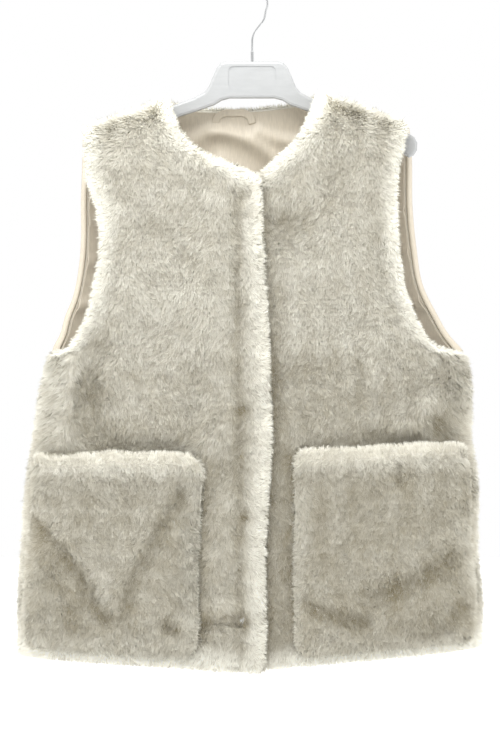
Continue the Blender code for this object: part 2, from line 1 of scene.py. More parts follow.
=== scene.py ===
"""Looks of a faux-fur gilet on a clothes hanger, built around its CAD frame.

Every cloth panel is a grid of rows and columns worked out as the frame's own panels are, at a finer step,
in millimetres. The pile is a mesh of its own: short tapered ribbons that grow from the panel in tufts. Left
and right are the wearer's.
"""

import math
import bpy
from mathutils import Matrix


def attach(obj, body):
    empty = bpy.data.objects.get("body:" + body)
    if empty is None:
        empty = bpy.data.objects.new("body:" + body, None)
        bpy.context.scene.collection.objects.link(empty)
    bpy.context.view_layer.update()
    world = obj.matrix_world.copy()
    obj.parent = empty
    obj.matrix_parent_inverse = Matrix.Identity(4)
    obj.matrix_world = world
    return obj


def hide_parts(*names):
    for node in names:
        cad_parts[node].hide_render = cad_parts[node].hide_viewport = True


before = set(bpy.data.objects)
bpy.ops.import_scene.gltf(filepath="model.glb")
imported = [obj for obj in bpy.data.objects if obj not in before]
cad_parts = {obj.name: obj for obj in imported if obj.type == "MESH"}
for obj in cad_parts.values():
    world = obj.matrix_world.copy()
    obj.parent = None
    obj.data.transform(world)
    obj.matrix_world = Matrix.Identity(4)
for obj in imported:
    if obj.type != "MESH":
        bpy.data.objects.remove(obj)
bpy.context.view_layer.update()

from types import SimpleNamespace

import bpy
import numpy as np
from bpy.props import FloatProperty, FloatVectorProperty, IntProperty, PointerProperty
from bpy.types import Operator, Panel, PropertyGroup

bl_info = {
    "name": "Faux-fur gilet on a hanger",
    "version": (1, 0, 0),
    "blender": (4, 5, 0),
    "location": "3D View > Sidebar > Gilet",
    "description": "Fronts, back, pockets, lining and hanger of a gilet, its pile grown strand by strand",
    "category": "Object",
}

MM = 0.001

# The frame's own sizes, in millimetres.
SEAM, WALL, LINING, SNUG = 0.3, 11.0, 1.2, 1.05
ARM_START = (73.5, -135.0)
ARM_SLOPE = 0.366
SHOULDER_COS = 1 / math.hypot(1, ARM_SLOPE)
SHOULDER_START = ARM_START[1] + (WALL + SEAM + LINING + SNUG) / SHOULDER_COS
NECK_ROUND = 70.0
FRONT_DEPTH, BACK_DEPTH = 60.0, 50.0
SHOULDER_REACH, SIDE_REACH = 100.0, 110.0
BLEND = 4
ON_SEAM = 0.01
FOLD_FADE = 45.0
SLOPE_STEP = 0.3

# Height, then x of the right and the left side.
OUTLINE = np.array((
    (-870, -291, 284), (-819, -293, 286), (-763, -293, 288), (-700, -289, 282), (-600, -281, 281),
    (-563, -275, 274), (-513, -268, 275), (-475, -261, 273), (-450, -253, 266), (-430, -251, 258),
    (-409, -248, 248), (-385, -243, 236), (-343, -235, 224), (-300, -231, 217), (-240, -230, 215),
    (-160, -230, 215)), float)

# Free edges as the tips of the fur show them: x, z. Armholes run from the armpit to the shoulder.
ARMHOLE_FRONT_RIGHT = ((-253, -450), (-230, -443), (-216, -420), (-202, -380), (-194.5, -336), (-192.5, -314),
                       (-196, -277), (-210, -229), (-213, -171))
ARMHOLE_FRONT_LEFT = ((266, -450), (248, -447), (224, -437), (206, -408), (194, -379), (188, -340),
                      (183.5, -301), (182.5, -262), (185, -232), (193, -194), (197, -165))
ARMHOLE_BACK_RIGHT = ((-253, -450), (-244, -430), (-238, -409), (-228, -385), (-219.5, -343), (-217, -303),
                      (-217.5, -269), (-216, -229), (-213, -171))
ARMHOLE_BACK_LEFT = ((266, -450), (250, -430), (233, -401), (217, -369), (208.5, -319), (204, -274),
                     (202, -200), (197, -165))
NECK_RIGHT = ((12, -235), (-6.5, -225), (-29, -216), (-55, -206), (-78, -189), (-95, -158), (-104, -131))
NECK_LEFT = ((-34, -243), (-10, -236), (13.5, -224), (27, -211), (45, -195), (58.5, -177), (67, -159),
             (74, -145), (82, -124))
CENTRE_RIGHT = ((17, -851), (19, -770), (18, -710), (21, -640), (26, -560), (25, -510), (21, -415),
                (16, -320), (12, -235))
CENTRE_LEFT = ((-34, -851), (-34, -243))
HEM_RIGHT, HEM_LEFT = -832.0, -822.0
FRONT_HEM_BOW, BACK_HEM_BOW = 1.0, 9.0
BACK_NECK_DIP = 14.0

OVERLAP_GAP = 3.6
OVERLAP_LIFT = WALL + OVERLAP_GAP
OVERLAP_FROM, OVERLAP_TO = -94.0, -42.0

# A fold: from x and z to x and z, sideways bow at the middle, width, height (below 0 for a trough).
FOLDS_RIGHT = (
    (-180, -436, -200, -464, -3, 15, -6), (-206, -486, -206, -524, 2, 14, -10),
    (-199, -550, -172, -568, 3, 15, -8), (-236, -470, -238, -560, 0, 24, 8),
    (-186, -470, -176, -530, 3, 26, -4), (-234, -452, -226, -466, 0, 12, 4),
    (-62, -786, -22, -779, 0, 10, -7), (-62, -764, -26, -758, 0, 12, 3), (-64, -592, -26, -530, 4, 13, 5),
    (-46, -606, -12, -560, 4, 13, -4),
    (-168, -480, -160, -548, 0, 26, 4), (-150, -565, -95, -570, 0, 13, -5),
    (-120, -300, -60, -330, 6, 30, -3), (-150, -360, -70, -390, 6, 30, 3))
FOLDS_LEFT = (
    (34, -285, 66, -290, 0, 17, -5), (30, -344, 80, -344, 3, 20, 4), (206, -466, 216, -474, 0, 18, -4),
    (104, -236, 34, -300, 6, 22, -5), (60, -244, 120, -330, 0, 26, 3), (36, -470, 110, -462, 4, 16, -4),
    (226, -538, 244, -556, 0, 17, -8), (192, -542, 224, -502, 0, 16, 6), (150, -556, 212, -566, 0, 14, -5),
    (40, -480, 120, -500, 4, 26, -3), (60, -420, 150, -440, 4, 28, 3))
FOLDS_BACK = (
    (-60, -300, -40, -800, 10, 34, -6), (70, -340, 50, -810, -8, 36, -6), (-160, -470, -190, -700, 8, 30, 5),
    (165, -480, 195, -720, -8, 30, 5), (0, -260, 5, -760, 4, 40, 4))

FINE = 4                           # lines of the scene's grids for each line of the frame's
LOWER, MIDDLE, UPPER = 12, 5, 11
LEVEL_WITH_ARMPIT = -448.0
ARMHOLE_SPLIT = 0.42
CLOSER_UP = 1.7
FRONT_COLUMNS = 14
BACK_SHOULDER, BACK_NECK = 6, 9
CLOSER_OUT = 0.75

POCKET_COLUMNS = (5.0, 12.0)
POCKET_ROWS_RIGHT, POCKET_ROWS_LEFT = (0.35, 7.8), (0.3, 8.0)
POCKET_WALL, POCKET_EDGE_WALL, POCKET_ROUND = 13.0, 2.5, 16.0
POCKET_HOLLOW, HOLLOW_SIDE, HOLLOW_FOOT = 9.0, 42.0, 60.0
POCKET_CORNER = 16.0
MOUTH_BAND, MOUTH_HEIGHT = 24.0, 3.0
FOLDS_POCKET_RIGHT = (
    (-270, -652, -184, -780, 6, 11, -7), (-256, -640, -176, -762, 6, 14, 4),
    (-84, -632, -160, -776, -8, 12, -6), (-104, -626, -172, -746, -8, 14, 3),
    (-102, -792, -98, -794, 0, 10, -5), (-215, -600, -130, -604, 0, 20, 2),
    (-274, -690, -214, -786, 4, 22, -4), (-170, -700, -186, -724, 0, 30, 3))
FOLDS_POCKET_LEFT = (
    (60, -762, 136, -786, -5, 11, -6), (258, -770, 212, -808, 4, 13, -5), (238, -712, 160, -756, 5, 20, -5),
    (240, -680, 150, -716, 5, 20, 3), (180, -594, 181, -612, 0, 7, -3))

STUD_COUNT, STUD_FIRST, STUD_STEP, STUD_X = 5, -256.5, 132.8, -9.0
# Dimples over the press studs: width and depth, and the painted shade in them.
DIMPLE_WIDTH, DIMPLE_DEPTH, DIMPLE_PAINTED_SHADE = 7.0, 4.5, -0.32

# Folds of the lining: two that fall from the loop across the back neck, and tucks beside the armholes.
FOLDS_SATIN = (
    (-44, -176, 28, -210, 7, 9, 8), (8, -176, 62, -190, -3, 9, 6), (-92, -198, -56, -176, 0, 11, 6),
    (-40, -212, -4, -232, 0, 10, 5), (-238, -262, -198, -257, 0, 6, 4), (-240, -292, -196, -288, 0, 5, 4),
    (-242, -346, -198, -338, 0, 6, 5), (-246, -402, -206, -392, 0, 6, 5), (188, -276, 226, -272, 0, 5, 4),
    (192, -330, 232, -326, 0, 6, 4), (206, -392, 246, -384, 0, 6, 5))

# Satin turned over the back's armhole edges: angles round the rim, its bulge and how square it is.
TURNED_ANGLES = np.radians((62, 76, 90, 105, 120, 135, 150, 165, 178))
TURNED_BULGE, TURNED_POWER = 0.94, 0.35
FACING, FACING_GAP = 0.4, 0.5

LOOP_WIDTH, LOOP_THICK, LOOP_GAP = 8.5, 1.4, 0.8
LOOP_PATH = ((-47, -163), (-44, -154), (-37, -149.5), (-24, -149), (-10, -149.5), (-3, -154), (0, -163))

PILE = 4.2                         # height of the combed pile above its backing
ROOT_SINK = 0.6                    # how far a strand's root lies in its backing
TUFT_TABLE = 256                   # squares before the tufts' random values repeat
TUFT_SHIFT = 1.3                   # how far a tuft's middle may lie from its square's, in squares
TUFT_PULL = 0.26                   # share by which a tip is drawn to its tuft's middle
STRAND_ROLL = 0.55                 # spread of the strands' turn about their own length
FLAT_SHARE = 0.08                  # a strand is shaded this much by its own face and otherwise by its backing
SEAM_REACH, SEAM_COMB = 30.0, 0.95  # near a seam the pile is combed over it, by this share
LEAST_WALL = 1.2                   # backing left where a fold or groove is deepest
ROLL = 2.2                         # height of the soft roll along free edges
FAR = 1000.0
PILE_ANGLES = (0, 45, 90, 135)     # lines round a rim that pile grows from
RIM_LONG, RIM_DENSE = 0.66, 1.6    # length and density of the pile round a rim, against the rest
RIM_STAND = 0.2                    # and how much steeper it stands, as an angle
BOUND_BARE = 10.0                  # the pile thins out this near an edge that is bound in satin
BACKING_BULGE = 0.4                # how round a panel's rim is under its pile

# Tones are added to the pile's lightness, which is about 0.55. Apart from that middle value, the tones below
# are painted light and shade.
MIDDLE_TONE = 0.55
EDGE_PAINTED_LIGHT, EDGE_REACH = 0.24, 18.0  # painted light near free edges, where light comes through the pile
BEHIND_PAINTED_SHADE, BEHIND_EDGE, BEHIND_REACH = -0.05, 30.0, 14.0  # painted shade in the shallow trough behind an edge's roll
SIDE_PAINTED_LIGHT, SIDE_REACH_IN = 0.15, 24.0  # painted light near the side and shoulder seams
CLOSURE_RIM_PAINTED_LIGHT, CLOSURE_PAINTED_SHADE = 0.06, -0.22  # a weaker painted rim highlight round the right front, and painted shade on its band along the closure, which takes back most of the painted edge light there
RIDGE_PAINTED_LIGHT = 0.014                 # painted highlight for each millimetre of a ridge
CREASE_PAINTED_SHADE = -0.015               # painted shade for each millimetre of a trough, where strands shade each other
CREASE_THIN = 0.4                  # and the share by which the pile is thinner there
LOW_PAINTED_SHADE, LOW_FROM, LOW_FADE = -0.13, -400.0, 150.0  # painted shade low down, where the cloth hangs in its own shade
LEFT_PAINTED_SHADE = -0.04                  # painted shade on the left front, which lies under the right one
# Painted shade on the pockets' bodies, the right pocket and the left one.
POCKET_PAINTED_SHADE, LEFT_POCKET_PAINTED_SHADE = -0.18, -0.23
MOUTH_PAINTED_LIGHT, LEFT_MOUTH_PAINTED_LIGHT = 0.04, 0.01  # painted light at the pockets' mouths and edges
POCKET_SHADE, OVERLAP_SHADE = -0.20, -0.20  # beside a pocket and beside the overlap
BAND_GROOVE = (-20, -256, -14, -845, 0, 7, 1)  # behind the band along the closure
# The groove's depth, and the painted shade in it.
GROOVE_DEPTH, GROOVE_PAINTED_SHADE = 4.0, -0.16
RIDGE_SHARE, TROUGH_SHARE = 0.8, 1.8  # the pockets' folds under fur, against those of the frame
COLUMN_STEP, ROW_STEP = 20.0, 33.0  # about the distance between the frame's columns and rows


class FurSettings(PropertyGroup):
    """Sizes and colours of the pile."""
    length: FloatProperty(name="Strand length", description="Length of a strand from backing to tip",
                          default=0.0085, min=0.004, max=0.04, unit="LENGTH")
    width: FloatProperty(name="Strand width", description="Width of a strand at its root",
                         default=0.00092, min=0.0002, max=0.003, unit="LENGTH")
    tuft: FloatProperty(name="Tuft size", description="Distance between neighbouring tufts",
                        default=0.0055, min=0.002, max=0.04, unit="LENGTH")
    lean: FloatProperty(name="Lean", description="Angle between the combed pile and its backing",
                        default=math.radians(47), min=0.1, max=1.5, subtype="ANGLE")
    panel_strands: IntProperty(name="Strands on a panel", description="Strands on each front and on the back",
                               default=190000, min=1000, max=195000)
    pocket_strands: IntProperty(name="Strands on a pocket", description="Strands on each patch pocket",
                                default=92000, min=1000, max=195000)
    # The root colour is deeper than the tip colour: painted shade where little light reaches.
    root: FloatVectorProperty(name="Root colour", description="Colour of the pile at its backing", size=3,
                              subtype="COLOR", default=(0.67, 0.63, 0.53), min=0, max=1)
    tip: FloatVectorProperty(name="Tip colour", description="Colour of the pile at its tips", size=3,
                             subtype="COLOR", default=(0.83, 0.797, 0.70), min=0, max=1)


class SatinSettings(PropertyGroup):
    """Colours of the lining and the hanging loop."""
    colour: FloatVectorProperty(name="Satin colour", description="Colour of the lining", size=3,
                                subtype="COLOR", default=(0.60, 0.54, 0.435), min=0, max=1)


class HangerSettings(PropertyGroup):
    """Colour of the moulded hanger."""
    colour: FloatVectorProperty(name="Hanger colour", description="Colour of the moulded hanger", size=3,
                                subtype="COLOR", default=(0.435, 0.443, 0.443), min=0, max=1)


class StageSettings(PropertyGroup):
    """Camera and light."""
    distance: FloatProperty(name="Camera distance", description="From the camera to the plane of the seams",
                            default=5.0, min=1, max=20, unit="LENGTH")
    frame_height: FloatProperty(name="Frame height", description="Height of the picture in the seams' plane",
                                default=0.9375, min=0.2, max=3, unit="LENGTH")
    sky: FloatProperty(name="Side light", description="Strength of the white surroundings at both sides",
                       default=1.62, min=0, max=5)
    sky_ahead: FloatProperty(name="Facing light", description="Strength of surroundings in front and behind",
                             default=0.56, min=0, max=5)
    front_light: FloatProperty(name="Front light", description="Power of the large soft light in front",
                               default=14.0, min=0, max=500, unit="POWER")
    rim_light: FloatProperty(name="Rim light", description="Power of each soft light behind the garment",
                             default=5.0, min=0, max=500, unit="POWER")


def through(at, places, values):
    """A smooth curve through a table: cubic pieces that share the neighbours' slopes."""
    slope = np.gradient(values, places)
    k = np.clip(np.searchsorted(places, at) - 1, 0, len(places) - 2)
    step = places[k + 1] - places[k]
    t = np.clip((at - places[k]) / step, 0, 1)
    start = (1 + 2 * t) * (1 - t) ** 2 * values[k] + t * (1 - t) ** 2 * step * slope[k]
    end = t ** 2 * (3 - 2 * t) * values[k + 1] + t ** 2 * (t - 1) * step * slope[k + 1]
    return start + end


def curve(points):
    """A smooth curve through points, as a function of the share of its length."""
    points = np.asarray(points, float)
    steps = np.linalg.norm(np.diff(points, axis=0), axis=1)
    at = np.concatenate([[0], np.cumsum(steps)])
    return lambda share: np.stack([through(np.asarray(share) * at[-1], at, points[:, k])
                                   for k in range(points.shape[1])], axis=-1)


def smooth(t):
    """3 t squared less 2 t cubed, held between 0 and 1."""
    t = np.clip(t, 0, 1)
    return t * t * (3 - 2 * t)


def quarter(distance, reach, most):
    """A quarter ellipse: nothing at the edge, rising to most at reach and staying there."""
    t = np.clip(distance / reach, 0, 1)
    return most * np.sqrt(1 - (1 - t) ** 2)


def unit(vectors):
    """Each vector divided by its own length."""
    return vectors / np.maximum(np.linalg.norm(vectors, axis=-1, keepdims=True), 1e-9)


def shoulder_z(x):
    """Height of the shoulders' line: straight slopes that a parabola joins above the neck."""
    along = np.where(np.abs(x) < NECK_ROUND, (x * x / NECK_ROUND + NECK_ROUND) / 2, np.abs(x))
    return SHOULDER_START - ARM_SLOPE * (along - ARM_START[0])


def side_x(z, side):
    """x of the outline at a height: side -1 is the right one and side 1 the left one."""
    return through(z, OUTLINE[:, 0], OUTLINE[:, 1 if side < 0 else 2])


def inside(x, z):
    """How far a point lies below the shoulder line and inside the nearer side."""
    below = (shoulder_z(x) - z) * SHOULDER_COS
    return below, np.minimum(x - side_x(z, -1), side_x(z, 1) - x)


def relief(x, z, folds):
    """The folds' heights added up: each is a soft bar that falls off as a bell curve across and past its
    ends.
    """
    total = np.zeros_like(x)
    for from_x, from_z, to_x, to_z, bow, width, height in folds:
        run_x, run_z = to_x - from_x, to_z - from_z
        length = math.hypot(run_x, run_z)
        along = ((x - from_x) * run_x + (z - from_z) * run_z) / length
        share = np.clip(along / length, 0, 1)
        across = ((z - from_z) * run_x - (x - from_x) * run_z) / length - 4 * bow * share * (1 - share)
        past = along - share * length
        total += height * np.exp(-(across ** 2 + past ** 2) / width ** 2)
    return total


def stand_off(x, z, panel):
    """Distance of a panel's outer face from the seam plane: the soft minimum of two quarter ellipses, one
    down from the shoulder and one in from the side, plus the folds and the lift of the overlap.
    """
    below, within = inside(x, z)
    down = np.maximum(quarter(below, SHOULDER_REACH, panel.depth), 1e-6)
    across = np.maximum(quarter(within, SIDE_REACH, panel.depth), 1e-6)
    body = (down ** -BLEND + across ** -BLEND) ** (-1 / BLEND)
    nearest = np.minimum(below, within)
    folds = relief(x, z, panel.folds) * smooth(nearest / FOLD_FADE)
    lift = panel.lift * smooth((x - OVERLAP_FROM) / (OVERLAP_TO - OVERLAP_FROM))
    return np.where(nearest < ON_SEAM, 0, body + folds + lift)


def outer_face(x, z, panel):
    """Points of a panel's outer face, and normals from its slope. On a seam the normal lies in the seam
    plane.
    """
    step = SLOPE_STEP
    slope_x = (stand_off(x + step, z, panel) - stand_off(x - step, z, panel)) / (2 * step)
    slope_z = (stand_off(x, z + step, panel) - stand_off(x, z - step, panel)) / (2 * step)
    normal = np.stack([-slope_x, np.full_like(x, panel.way), -slope_z], axis=-1)
    below, within = inside(x, z)
    side = np.sign(x)
    right = side_x(z + step, -1) - side_x(z - step, -1)
    left = side_x(z + step, 1) - side_x(z - step, 1)
    lean = np.where(x < 0, right, left)
    at_side = np.stack([side, np.zeros_like(x), -side * lean / (2 * step)], axis=-1)
    at_shoulder = np.stack([ARM_SLOPE * side, np.zeros_like(x), np.ones_like(x)], axis=-1)
    normal = np.where((within < ON_SEAM)[..., None], at_side, normal)
    normal = np.where((below < ON_SEAM)[..., None], at_shoulder, normal)
    y = panel.way * (SEAM / 2 + stand_off(x, z, panel))
    return np.stack([x, y, z], axis=-1), unit(normal)


def inset(points, turn):
    """An edge moved into its panel by the rim's radius. turn is 1 where the panel lies left of the edge's
    way.
    """
    points = np.asarray(points, float)
    way = unit(np.gradient(points, axis=0))
    return points + turn * WALL / 2 * np.stack([-way[:, 1], way[:, 0]], axis=1)


def armhole_line(points, side):
    """The armhole's inset edge: it starts on the side seam and ends on the shoulder seam."""
    line = inset(points, side)
    start = points[0][1] - WALL / 2
    line[0] = (side_x(start, side), start)
    end = points[-1][0] - side * WALL / 2 * SHOULDER_COS
    line[-1] = (end, shoulder_z(end))
    return curve(line)


def neck_line(points, side):
    """The neck's inset edge, which ends on the shoulder seam."""
    line = inset(points, -side)
    line[0] = (points[0][0] + side * WALL / 2, points[0][1] - WALL / 2)
    end = points[-1][0] + side * WALL / 2 * SHOULDER_COS
    line[-1] = (end, shoulder_z(end))
    return curve(line)


def packed(count):
    """Shares from 0 to 1, packed towards both ends by a sine."""
    s = np.linspace(0, 1, count + 1)
    return s - CLOSER_OUT * np.sin(2 * np.pi * s) / (2 * np.pi)


def hem_at(side):
    """Height of the hem's inset edge at a side seam."""
    return (HEM_RIGHT if side < 0 else HEM_LEFT) + WALL / 2


def rising(count):
    """Shares above 0, up to 1, packed towards the top by a power."""
    return 1 - (1 - np.linspace(0, 1, count + 1)[1:]) ** CLOSER_UP


def front_grid(side, centre, neck, armhole):
    """x and z of a front's rows and columns. A row is a straight line from the centre and neck edge to the
    side and armhole, and the lowest ones bow down as a sine.
    """
    lower, middle, upper = LOWER * FINE, MIDDLE * FINE, UPPER * FINE
    neck_at, armhole_at = neck_line(neck, side), armhole_line(armhole, side)
    centre = np.asarray(centre, float)
    hem = centre[0, 1] + WALL / 2
    foot = neck_at(0.0)[1]
    height = np.concatenate([np.linspace(hem, LEVEL_WITH_ARMPIT, lower + 1),
                             np.linspace(LEVEL_WITH_ARMPIT, foot, middle + 1)[1:]])
    edge_x = through(height, centre[:, 1], centre[:, 0]) + side * WALL / 2
    inner = np.concatenate([np.stack([edge_x, height], axis=1), neck_at(rising(upper))])
    seam_z = np.linspace(hem_at(side), armhole_at(0.0)[1], lower + 1)
    along_middle = np.linspace(0, ARMHOLE_SPLIT, middle + 1)[1:]
    along_upper = ARMHOLE_SPLIT + (1 - ARMHOLE_SPLIT) * rising(upper)
    outer = np.concatenate([np.stack([side_x(seam_z, side), seam_z], axis=1),
                            armhole_at(np.concatenate([along_middle, along_upper]))])
    share = packed(FRONT_COLUMNS * FINE)[None, :, None]
    grid = inner[:, None] * (1 - share) + outer[:, None] * share
    from_hem = np.clip(np.arange(len(grid)) / lower, 0, 1)[:, None]
    grid[..., 1] -= FRONT_HEM_BOW * np.sin(np.pi * share[..., 0]) * (1 - from_hem)
    return grid[..., 0], grid[..., 1]


def back_grid():
    """x and z of the back's rows and columns. The top row follows both shoulder seams and the neck between
    them, and each row below takes over its shape by the square of its height.
    """
    lower, upper = LOWER * FINE, (MIDDLE + UPPER) * FINE
    shoulder, over_count = BACK_SHOULDER * FINE, BACK_NECK * FINE
    edges = []
    for side, armhole in ((-1, ARMHOLE_BACK_RIGHT), (1, ARMHOLE_BACK_LEFT)):
        line = armhole_line(armhole, side)
        seam_z = np.linspace(hem_at(side), line(0.0)[1], lower + 1)
        low = np.stack([side_x(seam_z, side), seam_z], axis=1)
        edges.append(np.concatenate([low, line(rising(upper))]))
    right, left = edges
    count = 2 * shoulder + over_count
    share = packed(count)[None, :, None]
    grid = right[:, None] * (1 - share) + left[:, None] * share
    neck_from = NECK_RIGHT[-1][0] - WALL / 2 * SHOULDER_COS
    neck_to = NECK_LEFT[-1][0] + WALL / 2 * SHOULDER_COS
    over_neck = (1 - np.cos(np.linspace(0, np.pi, over_count + 1)[1:])) / 2
    top_x = np.concatenate([np.linspace(right[-1, 0], neck_from, shoulder + 1),
                            neck_from + over_neck * (neck_to - neck_from),
                            np.linspace(neck_to, left[-1, 0], shoulder + 1)[1:]])
    over = np.clip((top_x - neck_from) / (neck_to - neck_from), 0, 1)
    level = shoulder_z(neck_from) + over * (shoulder_z(neck_to) - shoulder_z(neck_from))
    dip = (BACK_NECK_DIP + WALL / 2) * np.sqrt(np.clip(np.sin(np.pi * over), 0, 1))
    at_neck = (over > 1e-9) & (over < 1 - 1e-9)
    top_z = np.where(at_neck, level - dip, shoulder_z(top_x))
    rows = len(grid)
    weight = (np.arange(rows) / (rows - 1))[:, None, None] ** 2
    grid = grid + weight * (np.stack([top_x, top_z], axis=1) - grid[-1])[None]
    from_hem = np.clip(np.arange(rows) / lower, 0, 1)[:, None]
    grid[..., 1] -= BACK_HEM_BOW * np.sin(np.pi * np.linspace(0, 1, count + 1)) * (1 - from_hem)
    return grid[..., 0], grid[..., 1]


def panel_of(x, z, way, depth, folds, lift=0.0):
    """A panel's outer face, its normals, its inner face a wall's thickness in, and where it lies on a seam.
    """
    panel = SimpleNamespace(way=way, depth=depth, folds=folds, lift=lift)
    panel.outer, panel.normal = outer_face(x, z, panel)
    panel.inner = panel.outer - WALL * panel.normal
    panel.seam = np.abs(panel.outer[..., 1]) < SEAM / 2 + ON_SEAM
    return panel


def right_front():
    grid = front_grid(-1, CENTRE_RIGHT, NECK_RIGHT, ARMHOLE_FRONT_RIGHT)
    return panel_of(*grid, -1, FRONT_DEPTH, FOLDS_RIGHT, OVERLAP_LIFT)


def left_front():
    grid = front_grid(1, CENTRE_LEFT, NECK_LEFT, ARMHOLE_FRONT_LEFT)
    return panel_of(*grid, -1, FRONT_DEPTH, FOLDS_LEFT)


def whole_back():
    return panel_of(*back_grid(), 1, BACK_DEPTH, FOLDS_BACK)


def loop_of(rows, columns):
    """Grid places round a grid's border, in order."""
    along = [(0, c) for c in range(columns)]
    up = [(r, columns - 1) for r in range(1, rows)]
    back = [(rows - 1, c) for c in range(columns - 2, -1, -1)]
    down = [(r, 0) for r in range(rows - 2, 0, -1)]
    return np.array(along + up + back + down)


def outward(points, normal, seam):
    """Unit directions that lead out of the sheet round its border: across the border and the normal, and on
    the whole away from its middle. Along a seam they are nothing, and where a seam ends they carry it on.
    """
    before, after = np.roll(points, 1, axis=0), np.roll(points, -1, axis=0)
    lead = unit(np.cross(after - before, normal))
    lead *= np.sign(np.sum(lead * (points - points.mean(axis=0))))
    ahead, behind = np.roll(seam, -1), np.roll(seam, 1)
    on = np.where(ahead[:, None], points - after, points - before)
    on[:, 1] = 0
    lead = np.where((seam & (ahead != behind))[:, None], unit(on), lead)
    return np.where((seam & ahead & behind)[:, None], 0, lead)


def between(grid, rows, columns):
    """A grid's values between its lines, linear both ways: rows and columns are places counted in grid
    steps.
    """
    r = np.clip(np.floor(rows).astype(int), 0, grid.shape[0] - 2)
    c = np.clip(np.floor(columns).astype(int), 0, grid.shape[1] - 2)
    a, b = (rows - r)[..., None], (columns - c)[..., None]
    near = grid[r, c] * (1 - b) + grid[r, c + 1] * b
    far = grid[r + 1, c] * (1 - b) + grid[r + 1, c + 1] * b
    return near * (1 - a) + far * a


def mesh_object(name, points, faces, materials, face_material=0):
    """A smooth mesh from points in millimetres and triangles, with one material or one for each triangle."""
    mesh = bpy.data.meshes.new(name)
    mesh.from_pydata((np.asarray(points) * MM).tolist(), [], np.asarray(faces).tolist())
    mesh.polygons.foreach_set("material_index", np.broadcast_to(face_material, len(faces)).astype(np.int32))
    mesh.shade_smooth()
    for made in materials:
        mesh.materials.append(made)
    mesh.update()
    made = bpy.data.objects.new(name, mesh)
    bpy.context.scene.collection.objects.link(made)
    return made


def turned_out(points, faces):
    """The faces, all turned round if the volume that they close comes out below nothing."""
    a, b, c = (points[faces[:, k]] for k in range(3))
    volume = np.einsum("ij,ij->i", a, np.cross(b, c)).sum()
    return faces if volume > 0 else faces[:, ::-1]


def rim_lines(outer, inner, normal, seam, angles, bulge, way, round_power=1.0):
    """Lines round a wall's free border: from its outer to its inner edge on a half ellipse, whose bulge is
    a share of half the wall, and a round power below 1 makes it squarer. Gives the lines' points and normals,
    one array for each angle.
    """
    place = loop_of(*outer.shape[:2])
    at = place[:, 0], place[:, 1]
    out_at, in_at, face = outer[at], inner[at], normal[at]
    lead = outward((out_at + in_at) / 2, face, seam[at])
    half = np.linalg.norm(out_at - in_at, axis=1, keepdims=True) / 2 * bulge
    points, normals = [], []
    for angle in angles:
        across, out = (1 - math.cos(angle)) / 2, math.sin(angle) ** round_power
        point = out_at + (in_at - out_at) * across + lead * half * out
        if way:
            point[:, 1] = way * np.maximum(way * point[:, 1], SEAM / 2)
        points.append(point)
        normals.append(unit(face * math.cos(angle) + lead * math.sin(angle)))
    return points, normals, lead


def shell(name, outer, inner, normal, seam, materials, angles=(45, 90, 135), bulge=1.0, way=0):
    """A closed wall between two grids, whose free border is rounded. Its inner face takes the second
    material.
    """
    rows, columns = outer.shape[:2]
    place = loop_of(rows, columns)
    at = place[:, 0] * columns + place[:, 1]
    lines, _, _ = rim_lines(outer, inner, normal, seam, np.radians(angles), bulge, way)
    count, border = rows * columns, len(at)
    corner = (np.arange(rows - 1)[:, None] * columns + np.arange(columns - 1)).ravel()
    quads = np.stack([corner, corner + 1, corner + columns + 1, corner + columns], axis=1)
    rings = [at] + [2 * count + k * border + np.arange(border) for k in range(len(lines))] + [count + at]
    strips = [np.stack([a, b, np.roll(b, -1), np.roll(a, -1)], axis=1) for a, b in zip(rings, rings[1:])]
    lining = quads[:, [0, 3, 2, 1]] + count
    quads = np.concatenate([quads, lining] + strips)
    look = np.zeros(len(quads), int)
    look[len(corner):2 * len(corner)] = len(materials) - 1
    faces = np.concatenate([quads[:, [0, 1, 2]], quads[:, [0, 2, 3]]])
    points = np.concatenate([outer.reshape(-1, 3), inner.reshape(-1, 3)] + lines)
    return mesh_object(name, points, turned_out(points, faces), materials, np.concatenate([look, look]))


def cell_areas(points):
    """Area of each grid cell: half the cross product of its diagonals."""
    rising_way = points[1:, 1:] - points[:-1, :-1]
    falling_way = points[1:, :-1] - points[:-1, 1:]
    return np.linalg.norm(np.cross(rising_way, falling_way), axis=-1) / 2


def to_border(points, seam):
    """Distance of each grid point from the nearest free border, along its row or its column, and the unit
    direction to it. A border that is a seam counts as far away.
    """
    nearest, lead = np.full(points.shape[:2], np.inf), np.zeros(points.shape)
    for axis in (0, 1):
        steps = np.linalg.norm(np.diff(points, axis=axis), axis=-1)
        start = np.zeros_like(steps.take([0], axis=axis))
        along = np.concatenate([start, np.cumsum(steps, axis=axis)], axis=axis)
        way = unit(np.gradient(points, axis=axis))
        for end, sign, distance in ((0, -1, along), (-1, 1, along.take([-1], axis=axis) - along)):
            distance = distance + FAR * seam.take([end], axis=axis)
            closer = distance < nearest
            nearest = np.where(closer, distance, nearest)
            lead = np.where(closer[..., None], sign * way, lead)
    return nearest, lead


def combed_out(distance, lead, reach=13.0, most=0.7):
    """Which way the pile is combed: down, turning outwards near a border."""
    near = (most * bell(distance, reach))[..., None]
    return (1 - near) * np.array((0.0, 0.0, -1.0)) + near * lead


def rolled(distance):
    """Height added where the cloth is turned under: a soft roll along the border, a shallow trough behind."""
    return ROLL * (bell(distance - 8, 8) - 0.7 * bell(distance - 27, 9))


def bell(distance, reach):
    """1 at no distance, falling off as a bell curve."""
    return np.exp(-(distance / reach) ** 2)


def stretch(points, normal, cover=1.0, length=1.0, tone=0.0, stand=0.0, nap=(0.0, 0.0, -1.0)):
    """A stretch of backing that pile grows from, as one grid: points, normals, which way it is combed, and
    how thickly it grows, how long, and how light it is.
    """
    shape = points.shape[:2]
    combed = np.broadcast_to(np.asarray(nap, float), shape + (3,))
    rest = [np.broadcast_to(value, shape)[..., None] for value in (cover, length, tone, stand)]
    return np.concatenate([points, normal, combed] + rest, axis=-1)


